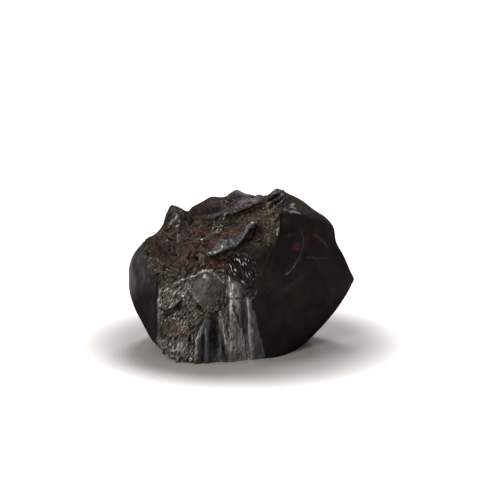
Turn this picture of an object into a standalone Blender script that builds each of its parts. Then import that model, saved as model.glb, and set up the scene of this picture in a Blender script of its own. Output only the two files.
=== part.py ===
"""A rough lump of hematite: one solid, broken from a round nodule.

The lump is sculpted from a fine sphere. The nodule's skin and the fracture faces set how far each point
lies from the heart of the stone. Hollows, steps, grooves and ridges are then cut into the front or raised
from it, the mesh is thinned to the triangles that its shape needs, and the underside is cut flat where
the lump rests.

The tables are in millimetres and degrees, in a frame that faces the stone from the front and a little
above: u to the right, v up and w towards the viewer, all from the heart. The finished object is in
metres, +Z up, with its front to -Y and its origin in the middle of the level that it rests on.
"""

import math
from collections import namedtuple

import bmesh
import bpy
import numpy as np
from mathutils import Matrix, Vector, noise

MM = 0.001

# Driving dimensions.
HEART = (0.0, 0.3, 14.7)  # above the resting level, whose middle is the origin
LOOK_DOWN = 14.0  # the tables' frame is tilted back by this much
HALF_DEPTH = 18.6  # from the heart to the nodule's skin, front and back
SKIN_POWER = 2.6  # 2 would round the skin from front to back as an ellipse
EDGE_SHARPNESS = 60.0  # the higher, the crisper the edge between two fracture faces
EVENED_OVER = (-18, -12, -6, 0, 6, 12, 18)  # the turns that crags are evened out over behind the outline
CRAG_DEPTH = (0.12, 0.42)  # as sines of the angle in front of the outline or behind it
SPHERE_CUTS = 7
TRIANGLES = 8800
SNAP = 0.25  # points this near the resting level lie on it
SHARP_ANGLE = 35.0  # edges steeper than this are shaded sharp

# The nodule's outline across the heart.
OUTLINE = [
    (25.2, -0.2), (24.5, 1.1), (22.6, 5.1), (21.0, 8.0), (20.4, 11.6), (18.9, 13.7), (16.4, 15.3),
    (13.0, 18.0), (10.4, 19.1), (8.5, 20.0), (7.2, 19.6), (6.2, 18.6), (3.8, 18.0),
    (0.2, 19.0), (-1.1, 19.6), (-2.4, 19.0), (-3.6, 18.1), (-7.1, 17.9), (-8.6, 17.0),
    (-11.0, 15.7), (-12.4, 14.8), (-13.7, 15.5), (-15.0, 16.0), (-15.9, 15.4), (-17.7, 11.1),
    (-18.8, 9.7), (-20.6, 8.8), (-22.3, 7.3), (-23.9, 5.3), (-24.8, 2.9), (-25.0, 0.0),
    (-24.8, -3.1), (-23.7, -6.6), (-22.1, -9.7), (-20.4, -13.0), (-18.6, -16.4), (-16.8, -20.0),
    (-9.0, -25.0), (0.0, -24.0), (6.0, -21.0), (10.8, -17.0), (15.7, -13.0), (21.9, -6.0), (24.5, -1.7),
]

# A fracture face passes through a point, looks azimuth degrees to the right of the viewer and elevation
# degrees up, waves slowly in and out by wave, and has sharp bumps that stand out by rough.
Fracture = namedtuple("Fracture", "through azimuth elevation wave rough")
FRACTURES = {
    "front": Fracture((-10.0, -18.8, 14.5), -16, -3, 0.2, 0.35),
    "ribs": Fracture((2.0, 0.0, 14.0), 17, -12, 0.2, 0.25),
    "upper_left": Fracture((-18.4, -2.7, 13.6), -27, 28, 0.3, 0.4),
    "top_slope": Fracture((-6.9, 1.8, 15.6), 0, 41, 0.3, 0.5),
    "right_shoulder": Fracture((13.1, 13.9, 2.1), 45, 47, 0.1, 0.04),
    "under_right": Fracture((17.0, -13.2, -3.0), 64, -35, 0.3, 0.0),
    "under_left": Fracture((-14.9, -17.8, 12.5), -117, -63, 0.2, 0.3),
    "back": Fracture((0.0, 0.0, -15.0), 172, 2, 0.5, 0.3),
    "back_left": Fracture((-20.5, 0.0, -7.0), -125, 10, 0.4, 0.25),
    "back_right": Fracture((21.5, -3.0, -8.0), 140, -8, 0.4, 0.0),
    "back_top": Fracture((0.0, 17.5, -8.5), 165, 45, 0.5, 0.4),
}
# The right face bends back softly between these two.
BENT_FACE = {
    "right": Fracture((25.6, -0.2, -3.4), 38, -6, 0.3, 0.03),
    "right_upper": Fracture((14.5, 4.0, 6.3), 37, 22, 0.2, 0.05),
}
BEND_SHARPNESS = 16.0
WAVE_LENGTH = 0.5  # of a face's slow waves, as seen from a heart one away
BUMP = 1.6  # the size of a sharp bump
BUMP_CREST = 2.2  # the higher, the sharper the crests of the bumps
BUMP_DETAIL = (0.5, 2.1)  # the height and the fineness of the smaller bumps on them
CALM = 0.6  # the share of the bumps that the front goes without
LOBE_EDGE_SOFT = 0.5  # the bumps die away over this at the lobe's edge
PATCH_EDGE = (0.7, 1.2)  # and between these squared shares of the smooth patch's radii
RIDGE_FOOT = 1.5  # a ridge ends at this many times its width
RECOVERY = 1.5  # the power that a step comes back by
OUTLINE_CLEAR = 0.1  # the relief stays this far from the outline

# A bite leaves a shell-shaped hollow on the far side: where it looks, how wide it is in degrees, and
# its depth.
Bite = namedtuple("Bite", "azimuth elevation spread depth")
BITES = [
    Bite(150, 12, 34, 1.8),
    Bite(-150, -8, 30, 1.5),
    Bite(-165, 45, 26, 1.4),
    Bite(126, -22, 24, 1.2),
]

# The front's relief. Each path is a list of (u, v, size), and the size changes evenly between its points.
# A step drops by the size on the right-hand side of its path, within run, and comes back over recover.
Step = namedtuple("Step", "path run recover")
# A ridge is raised by the size, and a groove is cut by it, over width to either side of the path.
Ridge = namedtuple("Ridge", "path width")
# A boss is raised by rise over an ellipse of two radii, turned from the level, and a hollow is sunk.
Boss = namedtuple("Boss", "centre radii turn rise")
# A shelf has its upper side on the left of its path. The ground rises towards the edge over back, falls by
# rise and drop over face, is undercut by cut over mouth, and comes back over recover.
Shelf = namedtuple("Shelf", "path rise back face drop cut mouth recover")

RELIEF = {
    # The left edge of the front, and the blocks that it is broken into.
    "lobe_edge": Step([(-18.1, -0.5, 0.3), (-18.1, -4, 1.6), (-18.3, -13.5, 1.8), (-18, -16, 1)],
        0.2, 4.6),
    "front_ledge": Step([(-18, -9.4, 0), (-16.4, -8, 0.7), (-15, -6.9, 1), (-13.6, -5.6, 0.9),
        (-12.3, -4.2, 0)], 0.4, 5),
    "front_lip": Ridge([(-16.4, -7.4, 0), (-14.8, -6.1, 0.4), (-13.4, -4.8, 0.3), (-12.4, -3.8, 0)], 0.6),
    "front_nick": Step([(-17.8, -6.1, 0), (-17, -6.2, 0.6), (-15.6, -7.4, 0)], 0.35, 2),
    "valley": Ridge([(-11.6, -2.2, 0), (-11.1, -3.4, -0.4), (-10.4, -4.8, -0.6), (-9.2, -6.2, -0.7),
        (-7.2, -7.7, 0)], 0.5),
    "rim": Ridge([(-18, -2.6, 0.2), (-14.6, -1.1, 0.6), (-12.5, -0.3, 0.5), (-10.2, 0.4, 0.5),
        (-8.3, 1.3, 0.6), (-6.8, 1.3, 0.5), (-5.2, 0.3, 0.4), (-3.9, -1.1, 0.2)], 0.6),
    "patch": Boss((-7, -2.4), (5.2, 5.2), 0, 0.7),
    "front_hollow": Boss((-13.6, -10.6), (4.6, 3.4), 30, -0.7),
    # The fins, the cleft and the ribs.
    "broken_edge": Step([(-7.6, -7.6, 0.3), (-8, -9.4, 1), (-9.2, -11.4, 1.4), (-9.9, -13.4, 1.4),
        (-10.2, -18.6, 1)], 0.45, 4),
    "fin": Ridge([(-7.1, -8.6, 0.3), (-7.4, -13, 0.8), (-7.4, -18.6, 0.6)], 0.5),
    "cleft": Ridge([(-6.1, -7.6, -0.4), (-5.8, -9.8, -1.1), (-5.6, -13, -1.3), (-5.4, -15.6, -1),
        (-5.4, -19, -0.4)], 1.3),
    "rib_1": Ridge([(-4.4, -8.8, 0.2), (-4, -11.4, 0.7), (-3.6, -14, 0.6), (-3.6, -18.6, 0.3)], 0.6),
    "column": Boss((-1.9, -5.6), (6.6, 2.1), 88, 2.1),
    "column_foot": Boss((-2.2, -15), (6, 2.4), 89, 1),
    "column_side": Ridge([(-3.5, -3.2, -0.2), (-3.4, -6, -0.8), (-3, -9, -0.6), (-2.7, -12, -0.2)], 0.4),
    "rib_gap": Ridge([(0.2, -4.6, -0.4), (0.3, -8, -1), (0.5, -11.5, -0.7), (0.8, -18.4, -0.3)], 0.65),
    "rib_2": Ridge([(1.2, -4.6, 0.4), (1.5, -8.2, 0.8), (1.4, -11.4, 0.7), (2, -14.4, 0.7),
        (2.4, -18.4, 0.6)], 0.45),
    # The ledge across the top, its lip and the scar under it.
    "ledge": Shelf([(-7.6, 4.8, 0), (-5.6, 5.6, 0.9), (-3.6, 6.2, 1), (-1.3, 7.4, 1), (0, 9, 1),
        (1.4, 11, 1), (2.8, 12.3, 0.8), (4.1, 12.7, 0)],
        rise=1, back=3.4, face=1.4, drop=1.1, cut=0.6, mouth=0.6, recover=5),
    "scar": Boss((2.8, 9.7), (2.4, 1.6), 52, -0.8),
    "band": Shelf([(-9.9, 12.9, 0), (-6.8, 13.2, 0.7), (-3.6, 13.8, 0.9), (-1.4, 14.4, 1), (1.2, 15.6, 1),
        (3.9, 16.8, 0.8), (5, 17.3, 0)],
        rise=0.8, back=4, face=0.6, drop=0.4, cut=0.3, mouth=0.5, recover=4),
    "pillar": Step([(6.6, 6.6, 0.2), (7.3, 8.4, 0.9), (8, 10.4, 1.3), (8.3, 13.8, 1), (8.6, 15, 0.3)],
        0.35, 6),
    "pillar_body": Ridge([(5.6, 15, 0.6), (6.2, 12.6, 0.9), (6.4, 10.2, 0.9), (6, 7.6, 0.4)], 1.2),
    # The broken ground to the left of it.
    "left_crease": Step([(-20, 5.2, 0.3), (-17.6, 3.4, 0.7), (-15.6, 2.3, 0.8), (-13, 1.2, 0.4)],
        0.3, 3.5),
    "left_crack": Ridge([(-18, 10.1, -0.3), (-16.3, 9.1, -0.6), (-15.4, 8.2, -0.7), (-14, 7.6, -0.3)],
        0.3),
    "peak_ridge": Ridge([(-15, 15.4, 1.4), (-14.4, 11.5, 1.2), (-13.2, 8.6, 0.8), (-13.4, 7.4, 0.3)], 1),
    "behind_peak": Boss((-11.4, 12), (2.8, 3.8), -20, -0.9),
    "lump_1": Boss((-11.4, 4.6), (1.7, 3), -12, 0.9),
    "lump_2": Boss((-8.6, 3.9), (1.2, 2.2), 20, 0.7),
    "lump_3": Boss((-6.2, 3.4), (1.9, 1.5), 35, 0.6),
    "lens": Boss((-7.8, 8.4), (1.6, 0.5), -4, 0.7),
    "fold_left": Ridge([(-12.4, 7.2, 0.3), (-9.6, 7.5, 0.6), (-6.4, 7.3, 0.3)], 0.5),
    "hollow": Boss((-5.6, 9.8), (6.2, 3.4), 22, -0.9),
    "left_hollow": Boss((-16.6, 6.4), (3.4, 2.4), -30, -0.9),
    "crest_left": Boss((-6.9, 16), (3.6, 1.9), 8, 0.8),
    "fold_1": Ridge([(4.4, 16.8, 0.4), (6.6, 18.4, 0.9), (8.3, 19.2, 0.6)], 0.35),
    "fold_2": Ridge([(5.6, 15.9, 0.5), (7.8, 17.6, 0.9), (9.4, 18.6, 0.5)], 0.35),
    "fold_3": Ridge([(6.8, 15.2, 0.4), (8.6, 16.6, 0.8), (9.4, 17.5, 0.4)], 0.3),
    "fold_gap": Ridge([(5, 16.2, -0.2), (7.2, 17.9, -0.7), (9, 18.8, -0.2)], 0.3),
    "shoulder_nick": Ridge([(14.2, 15.2, 0), (15.4, 15.6, -0.4), (16.6, 16.2, -0.5)], 0.5),
    # The dark right side.
    "right_hollow": Boss((12.6, 8.4), (6.6, 4.6), -10, -0.5),
    "right_low_hollow": Boss((13.6, -4.2), (9.6, 7.4), 35, -0.4),
}

# The nodule's smooth lobe lies on the right-hand side of this path.
LOBE_EDGE = [(-22.5, 8.6, 1), (-20.0, 3.8, 1), (-18.4, 0.0, 1), (-18.4, -13.5, 1), (-18.8, -16.5, 1)]
FADE = 1.6  # relief dies away this near the outline
FRONT = (-7.0, -4.0)  # and between these depths


def facing(azimuth, elevation):
    """The unit vector of the tables' frame that looks that way."""
    a, e = math.radians(azimuth), math.radians(elevation)
    return np.array([math.sin(a) * math.cos(e), math.sin(e), math.cos(a) * math.cos(e)])


def outline_reach(angle):
    """How far the outline lies from the heart at each angle: a smooth curve through its points."""
    points = np.array(OUTLINE)
    turns = np.unwrap(np.arctan2(points[:, 1], points[:, 0]))
    reach = np.hypot(points[:, 0], points[:, 1])
    turns = np.concatenate([turns[-2:] - 2 * math.pi, turns, turns[:2] + 2 * math.pi])
    reach = np.concatenate([reach[-2:], reach, reach[:2]])
    slopes = np.gradient(reach, turns)
    angle = (angle - turns[1]) % (2 * math.pi) + turns[1]
    after = np.clip(np.searchsorted(turns, angle), 1, len(turns) - 1)
    gap = turns[after] - turns[after - 1]
    t = (angle - turns[after - 1]) / gap
    return (
        (2 * t**3 - 3 * t**2 + 1) * reach[after - 1]
        + (t**3 - 2 * t**2 + t) * gap * slopes[after - 1]
        + (3 * t**2 - 2 * t**3) * reach[after]
        + (t**3 - t**2) * gap * slopes[after]
    )


def smooth(low, high, x):
    """0 below low, 1 above high, and an even curve between."""
    t = np.clip((x - low) / (high - low), 0, 1)
    return t * t * (3 - 2 * t)


def skin_closeness(ways):
    """One over the distance to the nodule's own skin.

    Its crags die away in front of the outline and behind it.
    """
    u, v, w = ways.T
    angle = np.arctan2(v, u)
    even = np.mean([outline_reach(angle + math.radians(turn)) for turn in EVENED_OVER], axis=0)
    crag = 1 - smooth(*CRAG_DEPTH, np.abs(w))
    across = np.hypot(u, v) / (even + crag * (outline_reach(angle) - even))
    deep = np.abs(w) / HALF_DEPTH
    return (across**SKIN_POWER + deep**SKIN_POWER) ** (1 / SKIN_POWER)


def waves(places, seed, wavelength):
    """A slow wave through space, from about -1 to 1."""
    shift = Vector((seed * 7.3, seed * 3.1, seed * 5.7))
    return np.array([noise.noise(Vector(p) / wavelength + shift) for p in places])


def face_closeness(ways, face, seed):
    """One over the distance to a fracture face."""
    normal = facing(face.azimuth, face.elevation)
    distance = normal @ np.array(face.through) + face.wave * waves(ways, seed, WAVE_LENGTH)
    return np.clip(ways @ normal, 0, None) / distance


def joined(closeness, sharpness):
    """The nearest of several surfaces, with the edges between them rounded."""
    return sum(c**sharpness for c in closeness) ** (1 / sharpness)


def broken_nodule(ways):
    """How far the stone reaches in each direction, and how far its bumps stand out there."""
    faces = [face_closeness(ways, face, 1 + n) for n, face in enumerate(FRACTURES.values())]
    bent = [face_closeness(ways, face, 20 + n) for n, face in enumerate(BENT_FACE.values())]
    everything = joined([skin_closeness(ways), joined(bent, BEND_SHARPNESS), *faces], EDGE_SHARPNESS)
    reach = 1 / everything
    for bite in BITES:
        angle = np.degrees(np.arccos(np.clip(ways @ facing(bite.azimuth, bite.elevation), -1, 1)))
        reach -= bite.depth * np.clip(1 - (angle / bite.spread) ** 2, 0, None)
    shares = [(closeness / everything) ** EDGE_SHARPNESS for closeness in faces]
    rough = sum(face.rough * share for face, share in zip(FRACTURES.values(), shares))
    return reach, rough


def beside(path, u, v):
    """The distance to the right-hand side of the path, and the size at its nearest point."""
    best = np.full(len(u), np.inf)
    side, size = np.zeros(len(u)), np.zeros(len(u))
    for (u0, v0, s0), (u1, v1, s1) in zip(path, path[1:]):
        du, dv = u1 - u0, v1 - v0
        t = np.clip(((u - u0) * du + (v - v0) * dv) / (du * du + dv * dv), 0, 1)
        away = np.hypot(u - u0 - t * du, v - v0 - t * dv)
        right = np.sign((u - u0) * dv - (v - v0) * du)
        near = away < best
        best = np.where(near, away, best)
        side = np.where(near, right * away, side)
        size = np.where(near, s0 + t * (s1 - s0), size)
    return side, size


def within(centre, radii, turn, u, v):
    """The squared distance from a centre in units of the radii, which are turned from the level."""
    a = math.radians(turn)
    du, dv = u - centre[0], v - centre[1]
    along, over = du * math.cos(a) + dv * math.sin(a), dv * math.cos(a) - du * math.sin(a)
    return (along / radii[0]) ** 2 + (over / radii[1]) ** 2


def height(form, u, v):
    """How far one form of the relief stands out."""
    if isinstance(form, Boss):
        return form.rise * np.clip(1 - within(form.centre, form.radii, form.turn, u, v), 0, None) ** 2
    side, size = beside(form.path, u, v)
    if isinstance(form, Ridge):
        return size * np.clip(1 - np.abs(side) / (form.width * RIDGE_FOOT), 0, None)
    if isinstance(form, Step):
        return -size * smooth(0, form.run, side) * np.clip(1 - side / form.recover, 0, 1) ** RECOVERY
    above = form.rise * np.clip(1 + side / form.back, 0, 1) ** 2
    fall = (form.rise + form.drop) * smooth(0, form.face, side)
    below = np.clip(1 - (side - form.face) / form.recover, 0, 1) ** RECOVERY
    held = np.where(side < form.face, 1.0, below)
    mouth = form.cut * smooth(0, form.mouth, side - form.face) * below
    return size * np.where(side < 0, above, (form.rise - fall) * held - mouth)


def bumps(points, grain):
    """Rough broken ground: sharp-crested bumps from -1 to 1."""
    found = []
    smaller, finer = BUMP_DETAIL
    for point in points:
        place = Vector(point) / grain
        found.append(1 - BUMP_CREST * abs(noise.noise(place)) + smaller * noise.noise(place * finer))
    return np.array(found) - 0.5


def sculpt(ways):
    """The points of the stone in the tables' frame, one for each direction from its heart."""
    reach, rough = broken_nodule(ways)
    points = ways * reach[:, None]
    u, v, w = points.T
    inside = outline_reach(np.arctan2(v, u)) - np.hypot(u, v)
    front = smooth(*FRONT, w)
    rise = smooth(OUTLINE_CLEAR, FADE, inside) * front * sum(height(form, u, v) for form in RELIEF.values())
    lobe = smooth(0, LOBE_EDGE_SOFT, beside(LOBE_EDGE, u, v)[0])
    patch = 1 - smooth(*PATCH_EDGE, within(*RELIEF["patch"][:3], u, v))
    rough *= (1 - front * np.maximum(lobe, patch)) * (1 - CALM * front)
    points += ways * (rough * bumps(points, BUMP))[:, None]
    points[:, 2] += rise
    return points


def thinned(mesh):
    """A copy of the mesh with only the triangles that its shape needs."""
    helper = bpy.data.objects.new("helper", mesh)
    bpy.context.scene.collection.objects.link(helper)
    thin = helper.modifiers.new("thin", "DECIMATE")
    thin.ratio = TRIANGLES / len(mesh.polygons)
    bpy.context.view_layer.update()
    result = bpy.data.meshes.new_from_object(helper.evaluated_get(bpy.context.evaluated_depsgraph_get()))
    bpy.data.objects.remove(helper)
    return result


def cut_base(mesh):
    """Cuts the mesh flat at the resting level and closes it there."""
    shape = bmesh.new()
    shape.from_mesh(mesh)
    for vertex in shape.verts:
        if abs(vertex.co.z) < SNAP * MM:
            vertex.co.z = 0
    everything = shape.verts[:] + shape.edges[:] + shape.faces[:]
    bmesh.ops.bisect_plane(shape, geom=everything, dist=1e-6, plane_no=(0, 0, -1), clear_outer=True)
    rim = [edge for edge in shape.edges if edge.is_boundary]
    base = bmesh.ops.holes_fill(shape, edges=rim)["faces"]
    bmesh.ops.triangulate(shape, faces=base)
    bmesh.ops.recalc_face_normals(shape, faces=shape.faces)
    shape.to_mesh(mesh)
    shape.free()


def stone_material():
    """Dark iron ore with a dull metallic shine."""
    material = bpy.data.materials.new("hematite")
    material.use_nodes = True
    shader = material.node_tree.nodes["Principled BSDF"]
    shader.inputs["Base Color"].default_value = (0.055, 0.045, 0.042, 1)
    shader.inputs["Roughness"].default_value = 0.42
    shader.inputs["Metallic"].default_value = 0.35
    return material


def main():
    for old in list(bpy.data.objects):
        bpy.data.objects.remove(old)
    sphere = bmesh.new()
    bmesh.ops.create_icosphere(sphere, subdivisions=SPHERE_CUTS, radius=1.0)
    ways = np.array([v.co for v in sphere.verts])
    ways /= np.linalg.norm(ways, axis=1)[:, None]
    tilt = Matrix.Rotation(math.radians(90 - LOOK_DOWN), 4, "X")
    to_world = Matrix.Translation(Vector(HEART) * MM) @ tilt
    for vertex, point in zip(sphere.verts, sculpt(ways)):
        vertex.co = to_world @ (Vector(point) * MM)
    fine = bpy.data.meshes.new("fine")
    sphere.to_mesh(fine)
    sphere.free()
    mesh = thinned(fine)
    cut_base(mesh)
    mesh.name = "hematite_stone"
    mesh.materials.append(stone_material())
    mesh.shade_smooth()
    mesh.set_sharp_from_angle(angle=math.radians(SHARP_ANGLE))
    stone = bpy.data.objects.new("hematite_stone", mesh)
    bpy.context.scene.collection.objects.link(stone)


main()
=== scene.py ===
"""A rough lump of hematite on a pale floor, lit like a small studio product shot.

The lump is one stone, broken from a round nodule: a smooth lobe of the nodule's own skin on the left, a
silvery hackly break in front, a dark glassy break on the right and a rusty stepped break on top. It is
sculpted from a fine sphere by the same faces, steps and ridges as the solid that it stands for, with the
finer grain of each break added.

The tables are in millimetres and degrees, in a frame that faces the stone from the front and a little
above: u to the right, v up and w towards the viewer, all from the heart of the stone.
"""

import logging
import math
from dataclasses import dataclass, field
from enum import Enum
from typing import Any

import bmesh
import bpy
import numpy as np
from mathutils import Matrix, Vector, noise


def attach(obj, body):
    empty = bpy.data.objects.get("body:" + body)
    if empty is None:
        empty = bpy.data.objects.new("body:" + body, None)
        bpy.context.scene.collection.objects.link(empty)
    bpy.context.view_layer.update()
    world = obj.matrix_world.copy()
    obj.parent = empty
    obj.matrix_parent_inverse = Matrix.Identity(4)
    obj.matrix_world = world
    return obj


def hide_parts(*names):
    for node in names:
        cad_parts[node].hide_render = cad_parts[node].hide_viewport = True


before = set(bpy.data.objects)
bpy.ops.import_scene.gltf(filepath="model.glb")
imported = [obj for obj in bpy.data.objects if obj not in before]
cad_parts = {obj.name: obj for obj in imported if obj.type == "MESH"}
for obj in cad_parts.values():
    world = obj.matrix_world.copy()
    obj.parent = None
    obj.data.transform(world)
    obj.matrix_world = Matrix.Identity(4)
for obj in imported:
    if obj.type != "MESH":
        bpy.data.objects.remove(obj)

LOG = logging.getLogger("hematite")
MM = 0.001
NODE = "hematite_stone"

HEART = (0.0, 0.3, 14.7)  # the heart of the stone in the row's frame, in millimetres
LOOK_DOWN = 14.0  # how far the viewer looks down on it, in degrees

PATTERNS = 256  # how many slopes or chips a noise picks from: a power of two
PLACE_PRIMES = (73856093, 19349663, 83492791)  # large primes, which scatter them over the cells of space
SEED_PRIME = 2654435761
LAST_PRIME = 1274126177

RECOVERY = 1.5  # how steeply the ground comes back beside a step: 1 is a straight slope
RIDGE_FOOT = 1.5  # how many widths a ridge's foot lies from its crest
THINNEST = 0.01  # a streak's least half width, in millimetres

Path = list[tuple[float, float, float]]
Corners = tuple[tuple[float, float], ...]


# ---------------------------------------------------------------------------------------------------------
# Small helpers
# ---------------------------------------------------------------------------------------------------------


def linear(colour: str) -> tuple[float, float, float, float]:
    """Turns an sRGB hex colour to linear values.

    Args:
        colour: Six hex digits.

    Returns:
        Linear red, green, blue and an alpha of 1.
    """
    parts = [int(colour[n : n + 2], 16) / 255 for n in (0, 2, 4)]
    flat = [c / 12.92 if c <= 0.04045 else ((c + 0.055) / 1.055) ** 2.4 for c in parts]
    return (flat[0], flat[1], flat[2], 1.0)


def add_node(
    tree: bpy.types.NodeTree, kind: str, settings: dict[str, Any], inputs: dict[int | str, Any]
) -> bpy.types.Node:
    """Adds a node to a tree.

    Args:
        tree: The node tree.
        kind: The node's type.
        settings: Its properties by name.
        inputs: A value or another node's output for each of its sockets.

    Returns:
        The node.
    """
    made = tree.nodes.new(kind)
    for name, value in settings.items():
        setattr(made, name, value)
    for key, value in inputs.items():
        if isinstance(value, bpy.types.NodeSocket):
            tree.links.new(value, made.inputs[key])
        else:
            made.inputs[key].default_value = value
    return made


def smooth(low: float, high: float, x: np.ndarray) -> np.ndarray:
    """0 below low, 1 above high, and an even curve between."""
    t = np.clip((x - low) / (high - low), 0, 1)
    return t * t * (3 - 2 * t)


def soft_edged(near: np.ndarray, edge: float) -> np.ndarray:
    """1 inside a mark and 0 outside it, with an edge to either side of 1."""
    return 1 - smooth(1 - edge, 1 + edge, near)


def facing(azimuth: float, elevation: float) -> np.ndarray:
    """The unit vector that looks azimuth degrees to the right of the viewer and elevation degrees up."""
    a, e = math.radians(azimuth), math.radians(elevation)
    return np.array([math.sin(a) * math.cos(e), math.sin(e), math.cos(a) * math.cos(e)])


def turned(u: np.ndarray, v: np.ndarray, angle: float) -> tuple[np.ndarray, np.ndarray]:
    """The distances along and across a direction that is turned from the level by an angle in degrees."""
    a = math.radians(angle)
    return u * math.cos(a) + v * math.sin(a), v * math.cos(a) - u * math.sin(a)


def lattice(cells: np.ndarray, seed: int) -> np.ndarray:
    """Picks a pattern for each cell of space.

    Args:
        cells: Whole-numbered cells.
        seed: Picks one scatter.

    Returns:
        A number from 0 up to the number of patterns for each cell.
    """
    x, y, z = (cells[:, n].astype(np.int64) * prime for n, prime in enumerate(PLACE_PRIMES))
    mixed = x ^ y ^ z ^ (seed * SEED_PRIME)
    mixed = (mixed ^ (mixed >> 13)) * LAST_PRIME
    return (mixed ^ (mixed >> 16)) & (PATTERNS - 1)


def gradient_noise(places: np.ndarray, seed: int, gain: float = 1.6) -> np.ndarray:
    """Even noise from about -1 to 1, with one bump in each unit of space.

    Args:
        places: Points, in bumps.
        seed: Picks one pattern.
        gain: Brings the noise to that range.

    Returns:
        The noise at each point.
    """
    slopes = np.random.default_rng(seed).normal(size=(PATTERNS, 3))
    slopes /= np.linalg.norm(slopes, axis=1)[:, None]
    base = np.floor(places)
    t = places - base
    s = t * t * t * (t * (t * 6 - 15) + 10)
    total = np.zeros(len(places))
    for corner in np.ndindex(2, 2, 2):
        step = np.array(corner)
        weight = np.prod(np.where(step, s, 1 - s), axis=1)
        total += weight * np.einsum("ij,ij->i", slopes[lattice(base + step, seed)], t - step)
    return total * gain


def chip_noise(places: np.ndarray, seed: int, tilt: float = 0.9) -> tuple[np.ndarray, np.ndarray]:
    """A surface of flat chips, each tilted its own way, about one to each unit of space.

    Args:
        places: Points, in chips.
        seed: Picks one pattern.
        tilt: How steep the chips are.

    Returns:
        The chips' height from about -1 to 1, and a number from 0 to 1 for each chip.
    """
    dice = np.random.default_rng(seed)
    spots = dice.random((PATTERNS, 3))
    tilts = dice.normal(size=(PATTERNS, 3)) * tilt
    shades = dice.random(PATTERNS)
    base = np.floor(places)
    nearest = np.full(len(places), np.inf)
    height = np.zeros(len(places))
    shade = np.zeros(len(places))
    for corner in np.ndindex(3, 3, 3):
        cell = base + np.array(corner) - 1
        picked = lattice(cell, seed)
        gap = places - cell - spots[picked]
        away = np.einsum("ij,ij->i", gap, gap)
        closer = away < nearest
        nearest = np.where(closer, away, nearest)
        height = np.where(closer, np.einsum("ij,ij->i", tilts[picked], gap) + shades[picked] - 0.5, height)
        shade = np.where(closer, shades[picked], shade)
    return height, shade


# ---------------------------------------------------------------------------------------------------------
# Forms of the stone
# ---------------------------------------------------------------------------------------------------------


@dataclass(frozen=True)
class Fracture:
    """A fracture face: it passes through a point, faces one way, waves in and out, and has sharp bumps."""

    through: tuple[float, float, float]
    azimuth: float
    elevation: float
    wave: float
    rough: float


@dataclass(frozen=True)
class Bite:
    """A shell-shaped hollow: where it looks, how wide it is in degrees, and its depth."""

    azimuth: float
    elevation: float
    spread: float
    depth: float


@dataclass(frozen=True)
class Step:
    """A drop by the path's size on its right-hand side, within run, that comes back over recover."""

    path: Path
    run: float
    recover: float

    def height(self, u: np.ndarray, v: np.ndarray) -> np.ndarray:
        """How far the form stands out at each place."""
        side, size = beside(self.path, u, v)
        return -size * smooth(0, self.run, side) * np.clip(1 - side / self.recover, 0, 1) ** RECOVERY


@dataclass(frozen=True)
class Ridge:
    """A ridge raised by the path's size, or a groove where that is below zero, over width to either side."""

    path: Path
    width: float

    def height(self, u: np.ndarray, v: np.ndarray) -> np.ndarray:
        """How far the form stands out at each place."""
        side, size = beside(self.path, u, v)
        return size * np.clip(1 - np.abs(side) / self.width / RIDGE_FOOT, 0, None)


@dataclass(frozen=True)
class Boss:
    """A rise over a turned ellipse of two radii, or a hollow where the rise is below zero."""

    centre: tuple[float, float]
    radii: tuple[float, float]
    turn: float
    rise: float

    def near(self, u: np.ndarray, v: np.ndarray) -> np.ndarray:
        """The squared distance from the centre in units of the radii."""
        along, over = turned(u - self.centre[0], v - self.centre[1], self.turn)
        return (along / self.radii[0]) ** 2 + (over / self.radii[1]) ** 2

    def height(self, u: np.ndarray, v: np.ndarray) -> np.ndarray:
        """How far the form stands out at each place."""
        return self.rise * np.clip(1 - self.near(u, v), 0, None) ** 2


@dataclass(frozen=True)
class Shelf:
    """A shelf whose broken edge follows a path, with its upper side on the left.

    The ground rises towards the edge over back, falls by rise and drop over face, is undercut by cut over
    mouth, and comes back over recover. The path's sizes scale all of it.
    """

    path: Path
    rise: float
    back: float
    face: float
    drop: float
    cut: float
    mouth: float
    recover: float

    def height(self, u: np.ndarray, v: np.ndarray) -> np.ndarray:
        """Shapes the shelf.

        Args:
            u: The places' distance to the right.
            v: The places' height.

        Returns:
            How far the form stands out at each place.
        """
        side, size = beside(self.path, u, v)
        above = self.rise * np.clip(1 + side / self.back, 0, 1) ** 2
        fall = (self.rise + self.drop) * smooth(0, self.face, side)
        below = np.clip(1 - (side - self.face) / self.recover, 0, 1) ** RECOVERY
        held = np.where(side < self.face, 1.0, below)
        mouth = self.cut * smooth(0, self.mouth, side - self.face) * below
        return size * np.where(side < 0, above, (self.rise - fall) * held - mouth)


def beside(path: Path, u: np.ndarray, v: np.ndarray) -> tuple[np.ndarray, np.ndarray]:
    """Measures places against a path.

    Args:
        path: Points as (u, v, size).
        u: The places' distance to the right.
        v: The places' height.

    Returns:
        The distance to the right-hand side of the path, and the size at its nearest point.
    """
    best = np.full(len(u), np.inf)
    side = np.zeros(len(u))
    size = np.zeros(len(u))
    for (u0, v0, s0), (u1, v1, s1) in zip(path, path[1:]):
        du, dv = u1 - u0, v1 - v0
        t = np.clip(((u - u0) * du + (v - v0) * dv) / (du * du + dv * dv), 0, 1)
        away = np.hypot(u - u0 - t * du, v - v0 - t * dv)
        right = np.sign((u - u0) * dv - (v - v0) * du)
        near = away < best
        best = np.where(near, away, best)
        side = np.where(near, right * away, side)
        size = np.where(near, s0 + t * (s1 - s0), size)
    return side, size


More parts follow.
